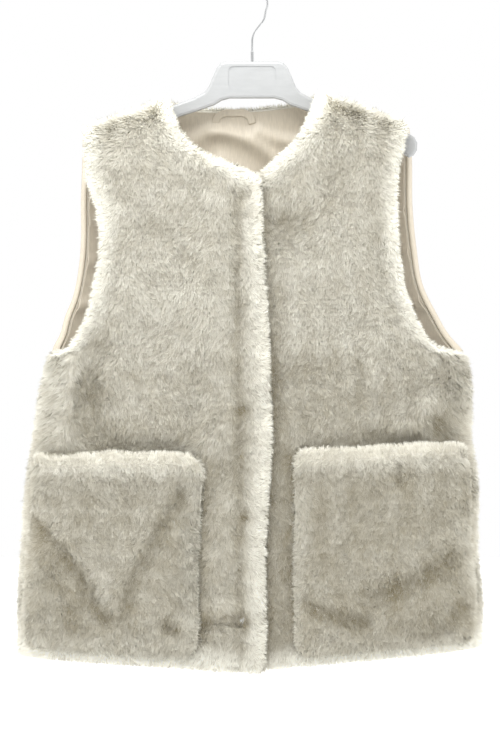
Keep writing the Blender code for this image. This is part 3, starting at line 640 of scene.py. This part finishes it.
def rim_stretch(outer, inner, normal, seam, angles, bulge, way, dense=1.0, **facts):
    """The stretch of backing round a wall's free border. Nothing grows where the border is a seam."""
    points, normals, lead = rim_lines(outer, inner, normal, seam, np.radians(angles), bulge, way)
    points, normals = np.stack(points, axis=1), np.stack(normals, axis=1)
    free = (np.linalg.norm(lead, axis=1) > 0.5).astype(float)[:, None] + np.zeros(len(angles))
    nap = (0.6 * lead + np.array((0.0, 0.0, -0.4)))[:, None] + np.zeros((len(angles), 3))
    points, normals, free, nap = (np.concatenate([a, a[:1]]) for a in (points, normals, free, nap))
    return stretch(points, normals, cover=dense * free, nap=nap, **facts)


def roots_on(stretches, count, rng):
    """Roots spread evenly over stretches. A cell's chance is its area times its cover, and the draws are
    evenly spaced along the running sum of the chances, each at a random place in its cell.
    """
    chances = []
    for facts in stretches:
        cover = facts[..., 9]
        at_cell = (cover[1:, 1:] + cover[1:, :-1] + cover[:-1, 1:] + cover[:-1, :-1]) / 4
        chances.append(np.where(at_cell > 0.02, at_cell, 0) * cell_areas(facts[..., :3]))
    total = sum(chance.sum() for chance in chances)
    found = []
    for facts, chance in zip(stretches, chances):
        number = int(count * chance.sum() / total)
        sums = np.cumsum(chance.ravel())
        draw = (np.arange(number) + rng.random(number)) / number * sums[-1]
        cell = np.minimum(np.searchsorted(sums, draw), len(sums) - 1)
        row, column = np.divmod(cell, facts.shape[1] - 1)
        found.append(between(facts, row + rng.random(number), column + rng.random(number)))
    return np.concatenate(found)


def waves(x, z, scale, rng):
    """A slow random field near -1 to 1: five sines of different directions and lengths about a scale."""
    total = np.zeros_like(x)
    for _ in range(5):
        turn, phase = rng.random(2) * 2 * np.pi
        long = scale * (0.6 + 0.9 * rng.random())
        total += np.sin((x * math.cos(turn) + z * math.sin(turn)) * 2 * np.pi / long + phase)
    return total / 2.2


def grow_pile(name, stretches, count, fur, seed):
    """Pointed blades of one triangle each. A blade leans along the nap, and its tip is drawn towards the
    middle of its tuft. Tufts are staggered squares that share a random turn, lean and lightness.

    The UV map holds lightness across and the place along the strand up, and the colour is read from it alone.
    """
    rng = np.random.default_rng(seed)
    roots = roots_on(stretches, count, rng)
    number = len(roots)
    point, normal = roots[:, 0:3], unit(roots[:, 3:6])
    x, z = point[:, 0], point[:, 2]
    tuft = fur.tuft / MM
    row = np.floor(z / tuft).astype(int)
    column = np.floor(x / tuft + 0.5 * (row % 2)).astype(int)
    own = rng.random((TUFT_TABLE, TUFT_TABLE, 5))[row % TUFT_TABLE, column % TUFT_TABLE] - 0.5
    middle_x = (column + 0.5 - 0.5 * (row % 2) + TUFT_SHIFT * own[:, 0]) * tuft
    middle_z = (row + 0.5 + TUFT_SHIFT * own[:, 1]) * tuft
    towards = np.stack([middle_x - x, np.zeros(number), middle_z - z], axis=1)
    towards -= np.sum(towards * normal, axis=1, keepdims=True) * normal

    nap = unit(roots[:, 6:9] - np.sum(roots[:, 6:9] * normal, axis=1, keepdims=True) * normal)
    side = np.cross(normal, nap)
    loose = rng.normal(size=(number, 6))
    turn = 0.40 * waves(x, z, 95, rng) + 0.25 * waves(x, z, 30, rng) + 0.3 * own[:, 2] + 0.22 * loose[:, 0]
    comb = np.cos(turn)[:, None] * nap + np.sin(turn)[:, None] * side
    lean = np.clip(fur.lean + roots[:, 12] + 0.22 * own[:, 3] + 0.13 * loose[:, 1], 0.1, 1.45)[:, None]
    long = fur.length / MM * roots[:, 10] * np.clip(1 + 0.16 * loose[:, 2] + 0.2 * own[:, 4], 0.5, 1.6)
    foot = point - ROOT_SINK * normal
    tip = foot + long[:, None] * (np.cos(lean) * comb + np.sin(lean) * normal) + TUFT_PULL * towards

    roll = STRAND_ROLL * loose[:, 3][:, None]
    way = unit(tip - foot)
    across = unit(np.cross(way, normal))
    across = np.cos(roll) * across + np.sin(roll) * np.cross(across, way)
    wide = fur.width / MM * np.clip(1 + 0.25 * loose[:, 4] - 1.4 * roots[:, 12], 0.35, 1.7)[:, None] / 2
    points = np.stack([foot - wide * across, foot + wide * across, tip], axis=1)
    faces = np.arange(3 * number).reshape(-1, 3)

    # Lightness: the stretches' tones, which are mostly painted light and shade, plus random tone of tufts,
    # waves and strands.
    lightness = MIDDLE_TONE + roots[:, 11] + 0.12 * own[:, 4] + 0.045 * waves(x, z, 42, rng)
    lightness = np.clip(lightness + 0.07 * loose[:, 5], 0.03, 0.97)
    uv = np.empty((number, 3, 2))
    uv[..., 0] = lightness[:, None] + np.array([-0.002, 0.002, 0])
    uv[..., 1] = np.array([0.02, 0.02, 0.98])
    made = mesh_object(name, points.reshape(-1, 3), faces, [material_named("acrylic pile")])
    layer = made.data.uv_layers.new(name="OFBake")
    layer.data.foreach_set("uv", uv.reshape(-1, 2)[faces.ravel()].ravel())
    faced = np.cross(across, way)
    faced *= np.sign(np.sum(faced * normal, axis=1, keepdims=True) + 1e-9)
    shade = unit((1 - FLAT_SHARE) * normal + FLAT_SHARE * faced)
    made.data.normals_split_custom_set_from_vertices(np.repeat(shade, 3, axis=0).tolist())
    return made


def linear(text):
    """An sRGB hex colour as linear red, green and blue: the sRGB curve undone for each channel."""
    channels = [int(text[k:k + 2], 16) / 255 for k in (1, 3, 5)]
    return tuple(c / 12.92 if c <= 0.04045 else ((c + 0.055) / 1.055) ** 2.4 for c in channels)


def add(tree, kind, links=None, **settings):
    """Adds a node with its settings. links gives inputs by name or place, each a value or another node's
    output.
    """
    made = tree.nodes.new(kind)
    for name, value in settings.items():
        setattr(made, name, value)
    for name, value in (links or {}).items():
        if isinstance(value, bpy.types.NodeSocket):
            tree.links.new(value, made.inputs[name])
        else:
            made.inputs[name].default_value = value
    return made


def ramp(tree, factor, stops):
    """A colour ramp with stops of place and linear colour."""
    made = add(tree, "ShaderNodeValToRGB", {"Fac": factor})
    elements = made.color_ramp.elements
    while len(elements) < len(stops):
        elements.new(0.5)
    for element, (place, colour) in zip(elements, stops):
        element.position = place
        element.color = (*colour, 1.0)
    return made.outputs["Color"]


def blank_material(name):
    made = bpy.data.materials.new(name)
    made.use_nodes = True
    return made, made.node_tree, made.node_tree.nodes["Principled BSDF"]


def material_named(name):
    """A material by name, made when it is first asked for."""
    made = bpy.data.materials.get(name)
    return made or MAKERS[name](name)


def settle(shader, sockets):
    """Gives constants to a shader's own sockets."""
    for name, value in sockets.items():
        shader.inputs[name].default_value = value


def grained(tree, shader, scale, detail, stops, turn=(0, 0, 0)):
    """Colours a shader by noise on the object's own coordinates. scale is the noise's count in a metre along
    x, y and z, and stops are those of its colour ramp. Gives the noise.
    """
    place = add(tree, "ShaderNodeTexCoord")
    drawn = add(tree, "ShaderNodeMapping",
                {"Vector": place.outputs["Object"], "Rotation": turn, "Scale": scale})
    noise = add(tree, "ShaderNodeTexNoise",
                {"Vector": drawn.outputs["Vector"], "Scale": 1.0, "Detail": detail})
    tree.links.new(ramp(tree, noise.outputs["Fac"], stops), shader.inputs["Base Color"])
    return noise.outputs["Fac"]


def embossed(tree, shader, noise, strength, distance):
    """Raises a shader's surface by its noise."""
    bump = add(tree, "ShaderNodeBump", {"Height": noise, "Strength": strength, "Distance": distance})
    tree.links.new(bump.outputs["Normal"], shader.inputs["Normal"])


def roughened(tree, shader, noise, low, high):
    """Lets a shader's roughness follow its noise from a low to a high value."""
    rough = add(tree, "ShaderNodeMapRange", {"Value": noise, "To Min": low, "To Max": high})
    tree.links.new(rough.outputs["Result"], shader.inputs["Roughness"])


def shaded(colour, share):
    return tuple(share * c for c in colour)


PILE_SLOPE, PILE_START = (1.05, 1.15, 1.33), (0.40, 0.35, 0.235)  # red, green and blue against lightness


def acrylic_pile(name):
    """Acrylic pile, knitted into a cloth, sheared and combed: dull, pale at the tips and deeper at the
    roots: painted shade, where little light reaches. A strand's lightness, which carries painted light and
    shade, multiplies its colour, with blue changing most.
    """
    fur = bpy.context.scene.gilet_fur
    made, tree, shader = blank_material(name)
    place = add(tree, "ShaderNodeUVMap", uv_map="OFBake")
    parts = add(tree, "ShaderNodeSeparateXYZ", {"Vector": place.outputs["UV"]})
    root, tip = tuple(fur.root), tuple(fur.tip)
    half = tuple(0.3 * a + 0.7 * b for a, b in zip(root, tip))
    along = ramp(tree, parts.outputs["Y"], [(0.0, root), (0.35, half), (1.0, tip)])
    tone = add(tree, "ShaderNodeVectorMath", {0: parts.outputs["X"], 1: PILE_SLOPE, 2: PILE_START},
               operation="MULTIPLY_ADD")
    colour = add(tree, "ShaderNodeVectorMath", {0: along, 1: tone.outputs["Vector"]}, operation="MULTIPLY")
    tree.links.new(colour.outputs["Vector"], shader.inputs["Base Color"])
    settle(shader, {"Roughness": 0.78, "Specular IOR Level": 0.3, "Sheen Weight": 0.25,
                    "Sheen Roughness": 0.5})
    return made


def underfur(name):
    """The dense lower pile and knitted backing between the strands: matt and deeper in colour, with a grain
    of about 1.5 mm across and 6 mm along the nap, drawn coarser than the real fibres so that it shows.
    """
    tip = tuple(bpy.context.scene.gilet_fur.tip)
    made, tree, shader = blank_material(name)
    grain = grained(tree, shader, (650, 650, 160), 3.0, [(0.3, shaded(tip, 0.80)), (0.7, shaded(tip, 0.98))])
    embossed(tree, shader, grain, 0.6, 0.002)
    settle(shader, {"Roughness": 0.95, "Specular IOR Level": 0.1})
    return made


def polyester_satin(name):
    """Polyester satin with its floats on the face: a soft broad gloss, and a slanting twill line about 1 mm
    apart, drawn as coarse as it needs to show.
    """
    satin = tuple(bpy.context.scene.gilet_satin.colour)
    made, tree, shader = blank_material(name)
    stops = [(0.3, shaded(satin, 0.93)), (0.7, shaded(satin, 1.05))]
    weave = grained(tree, shader, (900, 60, 120), 2.0, stops, turn=(0, math.radians(32), 0))
    embossed(tree, shader, weave, 0.25, 0.0004)
    settle(shader, {"Roughness": 0.42, "Specular IOR Level": 0.35})
    return made


def moulded_plastic(name):
    """Polypropylene, injection moulded and milky white: its skin is satin smooth, with faint flow marks some
    20 mm long.
    """
    white = tuple(bpy.context.scene.gilet_hanger.colour)
    made, tree, shader = blank_material(name)
    flow = grained(tree, shader, (50, 200, 200), 2.0, [(0.35, shaded(white, 0.95)), (0.65, white)])
    roughened(tree, shader, flow, 0.28, 0.40)
    settle(shader, {"IOR": 1.49})
    return made


def plated_steel(name):
    """Steel wire, drawn and nickel plated: bright, with fine lines along the wire from the die."""
    made, tree, shader = blank_material(name)
    lines = grained(tree, shader, (700, 700, 60), 2.0, [(0.3, linear("#c4c5c6")), (0.7, linear("#dedfdf"))])
    roughened(tree, shader, lines, 0.16, 0.30)
    settle(shader, {"Metallic": 1.0})
    return made


def studio_white(name):
    """Matt white paint of a studio floor, which glows a little so that it stays as pale as the
    surroundings.
    """
    made, tree, shader = blank_material(name)
    grained(tree, shader, (2, 2, 2), 1.0, [(0.2, (0.93, 0.93, 0.93)), (0.8, (0.95, 0.95, 0.95))])
    settle(shader, {"Roughness": 0.9, "Emission Color": (1, 1, 1, 1), "Emission Strength": 0.28})
    return made


MAKERS = {"acrylic pile": acrylic_pile, "underfur": underfur, "polyester satin": polyester_satin,
          "moulded polypropylene": moulded_plastic, "nickel-plated steel wire": plated_steel,
          "studio white": studio_white}


def sewn_in(cloth, pile, node):
    """Attaches a furred cloth and its pile to the root body, and hides the frame's node that the cloth takes
    the place of.
    """
    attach(cloth, "root")
    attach(pile, "root")
    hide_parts(node)


def furred_panel(name, node, panel, seed, thinner=0.0, tone=0.0, cover=1.0, bound=None, rim_painted_light=EDGE_PAINTED_LIGHT):
    """A panel's backing as a thin closed shell, and the pile that grows on it and round its free edges, but
    not where an edge is bound in satin.
    """
    fur = bpy.context.scene.gilet_fur
    bound = np.zeros_like(panel.seam) if bound is None else bound
    bare = panel.seam | bound
    distance, lead = to_border(panel.outer, bare)
    to_any, lead_any = to_border(panel.outer, bound)
    nap = combed_out(distance, lead) + combed_out(to_any, lead_any, SEAM_REACH, SEAM_COMB)
    low = smooth((LOW_FROM - panel.outer[..., 2]) / LOW_FADE) * (1 - bell(distance, 30.0))
    folds = relief(panel.outer[..., 0], panel.outer[..., 2], panel.folds)
    crease = np.maximum(-folds, 0)
    thick = np.maximum(WALL - PILE - thinner - CREASE_THIN * crease + rolled(distance), LEAST_WALL)[..., None]
    outer = panel.inner + thick * panel.normal
    cloth = shell(name, outer, panel.inner, panel.normal, panel.seam,
                  [material_named("underfur"), material_named("polyester satin")], bulge=BACKING_BULGE,
                  way=panel.way)
    # Painted light near free edges, the side and shoulder seams and on ridges; painted shade in creases, low
    # down and in the trough behind an edge's roll.
    tone = (tone + EDGE_PAINTED_LIGHT * bell(distance, EDGE_REACH) + SIDE_PAINTED_LIGHT * bell(to_any, SIDE_REACH_IN)
            + CREASE_PAINTED_SHADE * crease + RIDGE_PAINTED_LIGHT * np.maximum(folds, 0) + LOW_PAINTED_SHADE * low
            + BEHIND_PAINTED_SHADE * bell(distance - BEHIND_EDGE, BEHIND_REACH))
    cover = cover * (1 - bell(to_border(outer, ~bound)[0], BOUND_BARE))
    # The pile round a rim takes the painted rim highlight.
    stretches = [stretch(outer, panel.normal, cover=cover, tone=tone, nap=nap),
                 rim_stretch(outer, panel.inner, panel.normal, bare, PILE_ANGLES, BACKING_BULGE, panel.way,
                             length=RIM_LONG, tone=rim_painted_light, stand=RIM_STAND, dense=RIM_DENSE)]
    pile = grow_pile(name + "_pile", stretches, fur.panel_strands, fur, seed)
    sewn_in(cloth, pile, node)


def under_pocket(panel, rows):
    """Cover and tone of a front under its pocket: nothing grows where the pocket hides it, and round the
    pocket the pile is shaded.
    """
    row = np.arange(panel.outer.shape[0])[:, None] / FINE
    column = np.arange(panel.outer.shape[1])[None, :] / FINE
    hidden = ((row > rows[0] + 0.5) & (row < rows[1] - 0.9) & (column > POCKET_COLUMNS[0] + 0.5)
              & (column < POCKET_COLUMNS[1] - 0.5))
    above = np.maximum(np.maximum(rows[0] - row, row - rows[1]), 0) * ROW_STEP
    beside = np.maximum(np.maximum(POCKET_COLUMNS[0] - column, column - POCKET_COLUMNS[1]), 0) * COLUMN_STEP
    shade = POCKET_SHADE * bell(np.hypot(above, beside), 9.0) * (row > rows[0] + 0.5)
    return np.where(hidden, 0.0, 1.0), shade


class GILET_OT_fronts(Operator):
    """Makes both fronts: backing, pile, the band at the closure and the dimples over hidden press studs."""
    bl_idname = "gilet.fronts"
    bl_label = "Fronts"

    def execute(self, context):
        right, left = right_front(), left_front()
        x, z = right.outer[..., 0], right.outer[..., 2]
        heights = [STUD_FIRST - k * STUD_STEP for k in range(STUD_COUNT)]
        dimples = relief(x, z, [(STUD_X - 2, at, STUD_X + 2, at, 0, DIMPLE_WIDTH, 1.0) for at in heights])
        groove = relief(x, z, [BAND_GROOVE])
        closure = np.asarray(CENTRE_RIGHT, float)
        # Where the painted shade on the closure's band lies: along the right front's edge at the closure,
        # below the neck.
        at_edge = bell(through(z, closure[:, 1], closure[:, 0]) - x, 12.0) * smooth((-225 - z) / 30)
        cover, shade = under_pocket(right, POCKET_ROWS_RIGHT)
        furred_panel("right_front_cloth", "front_right", right, 11, cover=cover,
                     thinner=DIMPLE_DEPTH * dimples + GROOVE_DEPTH * groove,
                     tone=shade + DIMPLE_PAINTED_SHADE * dimples + GROOVE_PAINTED_SHADE * groove + CLOSURE_PAINTED_SHADE * at_edge,
                     rim_painted_light=CLOSURE_RIM_PAINTED_LIGHT)
        x, z = left.outer[..., 0], left.outer[..., 2]
        beside = np.maximum(x - through(z, closure[:, 1], closure[:, 0]), 0)
        cover, shade = under_pocket(left, POCKET_ROWS_LEFT)
        covered = np.where((x < -4) & (z < CENTRE_RIGHT[-1][1] - 20), 0.12, 1.0)
        furred_panel("left_front_cloth", "front_left", left, 12, cover=cover * covered,
                     tone=shade + OVERLAP_SHADE * bell(beside, 11.0) + LEFT_PAINTED_SHADE)
        return {"FINISHED"}


class GILET_OT_back(Operator):
    """Makes the back: backing and pile, which ends where the lining is turned over its armholes."""
    bl_idname = "gilet.back"
    bl_label = "Back"

    def execute(self, context):
        back = whole_back()
        furred_panel("back_cloth", "back", back, 13, bound=at_armholes(back))
        return {"FINISHED"}


def at_armholes(back):
    """Which points of the back's grid lie on an armhole's edge."""
    edge = np.zeros_like(back.seam)
    edge[LOWER * FINE + 1:-1, [0, -1]] = True
    return edge


class GILET_OT_lining(Operator):
    """Makes the satin lining of the back and its two facings, which turn over the armholes' edges."""
    bl_idname = "gilet.lining"
    bl_label = "Lining"

    def execute(self, context):
        back = whole_back()
        folds = relief(back.inner[..., 0], back.inner[..., 2], FOLDS_SATIN)[..., None]
        outer = back.inner - (SEAM + folds) * back.normal
        inner = outer - LINING * back.normal
        made = shell("back_lining_cloth", outer, inner, back.normal, np.zeros_like(back.seam),
                     [material_named("polyester satin")], angles=())
        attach(made, "root")
        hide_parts("back_lining")
        place = loop_of(*back.seam.shape)
        lines, normals, _ = rim_lines(back.outer, back.inner, back.normal, back.seam, TURNED_ANGLES,
                                      TURNED_BULGE, 1, TURNED_POWER)
        lines, normals = np.stack(lines, axis=1), np.stack(normals, axis=1)
        for name, column in (("right_armhole_facing", 0), ("left_armhole_facing", back.seam.shape[1] - 1)):
            along = np.nonzero((place[:, 1] == column) & (place[:, 0] >= LOWER * FINE))[0]
            along = along[np.argsort(place[along, 0])]
            turned = lines[along] + FACING_GAP * normals[along]
            facing = shell(name, turned, turned - FACING * normals[along], normals[along],
                           np.zeros(turned.shape[:2], bool), [material_named("polyester satin")], angles=())
            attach(facing, "root")
        return {"FINISHED"}


class GILET_OT_pockets(Operator):
    """Makes both patch pockets: each follows its front, puffs out over a hollow and has a thicker mouth."""
    bl_idname = "gilet.pockets"
    bl_label = "Patch pockets"

    def execute(self, context):
        self.pocket("right", right_front(), POCKET_ROWS_RIGHT, FOLDS_POCKET_RIGHT,
                    POCKET_PAINTED_SHADE, MOUTH_PAINTED_LIGHT, 21)
        self.pocket("left", left_front(), POCKET_ROWS_LEFT, FOLDS_POCKET_LEFT,
                    LEFT_POCKET_PAINTED_SHADE, LEFT_MOUTH_PAINTED_LIGHT, 22)
        return {"FINISHED"}

    def pocket(self, which, panel, row_range, folds, body_painted_shade, mouth_painted_light, seed):
        """A pocket's cloth and pile on a front. Its rows and columns are places between the front's own."""
        fur = bpy.context.scene.gilet_fur
        name = which + "_pocket_cloth"
        columns = np.linspace(*POCKET_COLUMNS, 61)
        rows = np.linspace(*row_range, 81)
        across = (columns - columns[0]) / (columns[-1] - columns[0])
        column, row = np.meshgrid(columns, rows)
        flat = between(panel.outer, row * FINE, column * FINE)
        width = np.linalg.norm(flat[0, -1] - flat[0, 0])
        height = np.linalg.norm(flat[-1, 0] - flat[0, 0])
        from_side = np.minimum(across, 1 - across)[None, :] * width + np.zeros_like(row)
        cut = (POCKET_CORNER - quarter(from_side, POCKET_CORNER, POCKET_CORNER)) / height
        up = (row - rows[0]) / (rows[-1] - rows[0])
        row = rows[0] + (rows[-1] - rows[0]) * (cut + up * (1 - 2 * cut))
        base = between(panel.outer, row * FINE, column * FINE)
        normal = unit(between(panel.normal, row * FINE, column * FINE))
        from_foot, from_mouth = up * height, (1 - up) * height
        from_edge = np.minimum(from_side, from_foot)
        gap = SEAM + POCKET_HOLLOW * smooth(from_side / HOLLOW_SIDE) * smooth(from_foot / HOLLOW_FOOT)
        wall = POCKET_EDGE_WALL + quarter(from_edge, POCKET_ROUND, POCKET_WALL - POCKET_EDGE_WALL)
        band = MOUTH_HEIGHT * smooth(1.5 - from_mouth / MOUTH_BAND) * smooth(from_side / POCKET_ROUND)
        raised = relief(base[..., 0], base[..., 2], folds) * smooth(from_edge / POCKET_ROUND)
        raised = np.where(raised < 0, TROUGH_SHARE, RIDGE_SHARE) * raised
        inner = base + gap[..., None] * normal
        thick = np.maximum(wall + band + raised - PILE, LEAST_WALL)
        outer = inner + thick[..., None] * normal
        none = np.zeros(row.shape, bool)
        cloth = shell(name, outer, inner, normal, none,
                      [material_named("underfur"), material_named("polyester satin")])
        at_mouth = smooth(1.35 - from_mouth / MOUTH_BAND)
        distance, lead = to_border(outer, none)
        edge = np.maximum(at_mouth, 0.7 * bell(distance, 19.0))
        # A pocket's tone: painted shade on its body, painted light at its mouth and edges and on its ridges,
        # painted shade in its troughs.
        tone = (body_painted_shade + (mouth_painted_light - body_painted_shade) * edge + CREASE_PAINTED_SHADE * np.maximum(-raised, 0)
                + RIDGE_PAINTED_LIGHT * np.maximum(raised, 0))
        stretches = [stretch(outer, normal, length=0.85, tone=tone, nap=combed_out(distance, lead)),
                     rim_stretch(outer, inner, normal, none, PILE_ANGLES, 1.0, 0, length=RIM_LONG,
                                 tone=mouth_painted_light, stand=RIM_STAND)]
        pile = grow_pile(name + "_pile", stretches, fur.pocket_strands, fur, seed)
        sewn_in(cloth, pile, "pocket_" + which)


class GILET_OT_loop(Operator):
    """Makes the hanging loop: a flat satin strap bent to a low arch on the lining."""
    bl_idname = "gilet.loop"
    bl_label = "Hanging loop"

    def execute(self, context):
        back = whole_back()
        path = curve(LOOP_PATH)(np.linspace(0, 1, 73))
        way = unit(np.gradient(path, axis=0))
        across = np.stack([-way[:, 1], way[:, 0]], axis=1)
        shares = np.linspace(-0.5, 0.5, 9)
        flat = path[:, None] + across[:, None] * shares[None, :, None] * LOOP_WIDTH
        base, normal = outer_face(flat[..., 0], flat[..., 1], back)
        outer = base - normal * (WALL + SEAM + LINING + LOOP_GAP)
        made = shell("hanging_loop_strap", outer, outer - LOOP_THICK * normal, normal,
                     np.zeros(flat.shape[:2], bool), [material_named("polyester satin")])
        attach(made, "root")
        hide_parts("hanging_loop")
        return {"FINISHED"}


class GILET_OT_hardware(Operator):
    """Finishes the frame's own hanger, hook and press studs."""
    bl_idname = "gilet.hardware"
    bl_label = "Hanger, hook and studs"

    def execute(self, context):
        for node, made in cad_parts.items():
            if node == "hanger":
                look = material_named("moulded polypropylene")
            elif node == "hanger_hook" or node.startswith("press_stud"):
                look = material_named("nickel-plated steel wire")
            else:
                continue
            for slot in made.material_slots:
                slot.material = look
        return {"FINISHED"}


class GILET_OT_stage(Operator):
    """Sets the floor, the even white surroundings, the soft lights and the camera."""
    bl_idname = "gilet.stage"
    bl_label = "Stage"

    def execute(self, context):
        stage = context.scene.gilet_stage
        side = np.array((-6000.0, 6000.0))
        corners = np.array([(x, y, -985.0) for y in side for x in side])
        triangles = np.array([(0, 1, 3), (0, 3, 2)])
        floor = mesh_object("floor", corners, triangles, [material_named("studio white")])
        world = bpy.data.worlds.new("white surroundings")
        world.use_nodes = True
        tree = world.node_tree
        around = add(tree, "ShaderNodeSeparateXYZ",
                     {"Vector": add(tree, "ShaderNodeTexCoord").outputs["Generated"]})
        ahead = add(tree, "ShaderNodeMath", {0: around.outputs["Y"]}, operation="ABSOLUTE")
        lit = add(tree, "ShaderNodeMapRange", {"Value": ahead.outputs["Value"], "To Min": stage.sky,
                                               "To Max": stage.sky_ahead})
        ray = add(tree, "ShaderNodeLightPath")
        seen = add(tree, "ShaderNodeMapRange", {"Value": ray.outputs["Is Camera Ray"],
                                                "To Min": lit.outputs["Result"], "To Max": 1.0})
        background = tree.nodes["Background"]
        background.inputs["Color"].default_value = (1, 1, 1, 1)
        tree.links.new(seen.outputs["Result"], background.inputs["Strength"])
        context.scene.world = world
        context.scene.view_settings.view_transform = "Standard"
        self.light("top softbox", (-0.15, -0.8, 0.6), (0, 0, -0.4), 0.8, stage.front_light)
        self.light("rim softbox right", (-1.6, -0.15, -0.3), (0, 0, -0.5), 1.4, stage.rim_light)
        self.light("rim softbox left", (1.6, -0.15, -0.3), (0, 0, -0.5), 1.4, stage.rim_light)
        camera = bpy.data.cameras.new("camera")
        camera.sensor_fit = "VERTICAL"
        camera.sensor_height = 24.0
        camera.lens = camera.sensor_height * stage.distance / stage.frame_height
        made = bpy.data.objects.new("camera", camera)
        made.location = (-0.00275, -stage.distance, -0.4814)
        made.rotation_euler = (math.radians(90), 0, 0)
        context.scene.collection.objects.link(made)
        context.scene.camera = made
        return {"FINISHED"}

    def light(self, name, place, target, size, power):
        """A square soft light at a place, turned to face a target."""
        lamp = bpy.data.lights.new(name, "AREA")
        lamp.size = size
        lamp.energy = power
        made = bpy.data.objects.new(name, lamp)
        made.location = place
        made.visible_camera = False
        away = np.array(place) - np.array(target)
        made.rotation_euler = (math.acos(away[2] / np.linalg.norm(away)), 0,
                               math.atan2(away[1], away[0]) + math.pi / 2)
        bpy.context.scene.collection.objects.link(made)


PIECES = (GILET_OT_fronts, GILET_OT_back, GILET_OT_lining, GILET_OT_pockets, GILET_OT_loop, GILET_OT_hardware,
          GILET_OT_stage)
SETTINGS = {"gilet_fur": FurSettings, "gilet_satin": SatinSettings, "gilet_hanger": HangerSettings,
            "gilet_stage": StageSettings}


class GILET_PT_sidebar(Panel):
    """Lists the pieces and their settings in the 3D view's sidebar."""
    bl_label = "Gilet"
    bl_idname = "GILET_PT_sidebar"
    bl_space_type = "VIEW_3D"
    bl_region_type = "UI"
    bl_category = "Gilet"

    def draw(self, context):
        for piece in PIECES:
            self.layout.operator(piece.bl_idname)
        for name, group in SETTINGS.items():
            box = self.layout.box()
            for key in group.__annotations__:
                box.prop(getattr(context.scene, name), key)


def register():
    for group in SETTINGS.values():
        bpy.utils.register_class(group)
    for piece in PIECES + (GILET_PT_sidebar,):
        bpy.utils.register_class(piece)
    for name, group in SETTINGS.items():
        setattr(bpy.types.Scene, name, PointerProperty(type=group))


def unregister():
    for name in SETTINGS:
        delattr(bpy.types.Scene, name)
    for piece in (GILET_PT_sidebar,) + PIECES[::-1]:
        bpy.utils.unregister_class(piece)
    for group in SETTINGS.values():
        bpy.utils.unregister_class(group)


def main():
    """Makes every piece in order."""
    register()
    bpy.ops.gilet.fronts()
    bpy.ops.gilet.back()
    bpy.ops.gilet.lining()
    bpy.ops.gilet.pockets()
    bpy.ops.gilet.loop()
    bpy.ops.gilet.hardware()
    bpy.ops.gilet.stage()


if __name__ == "__main__":
    main()
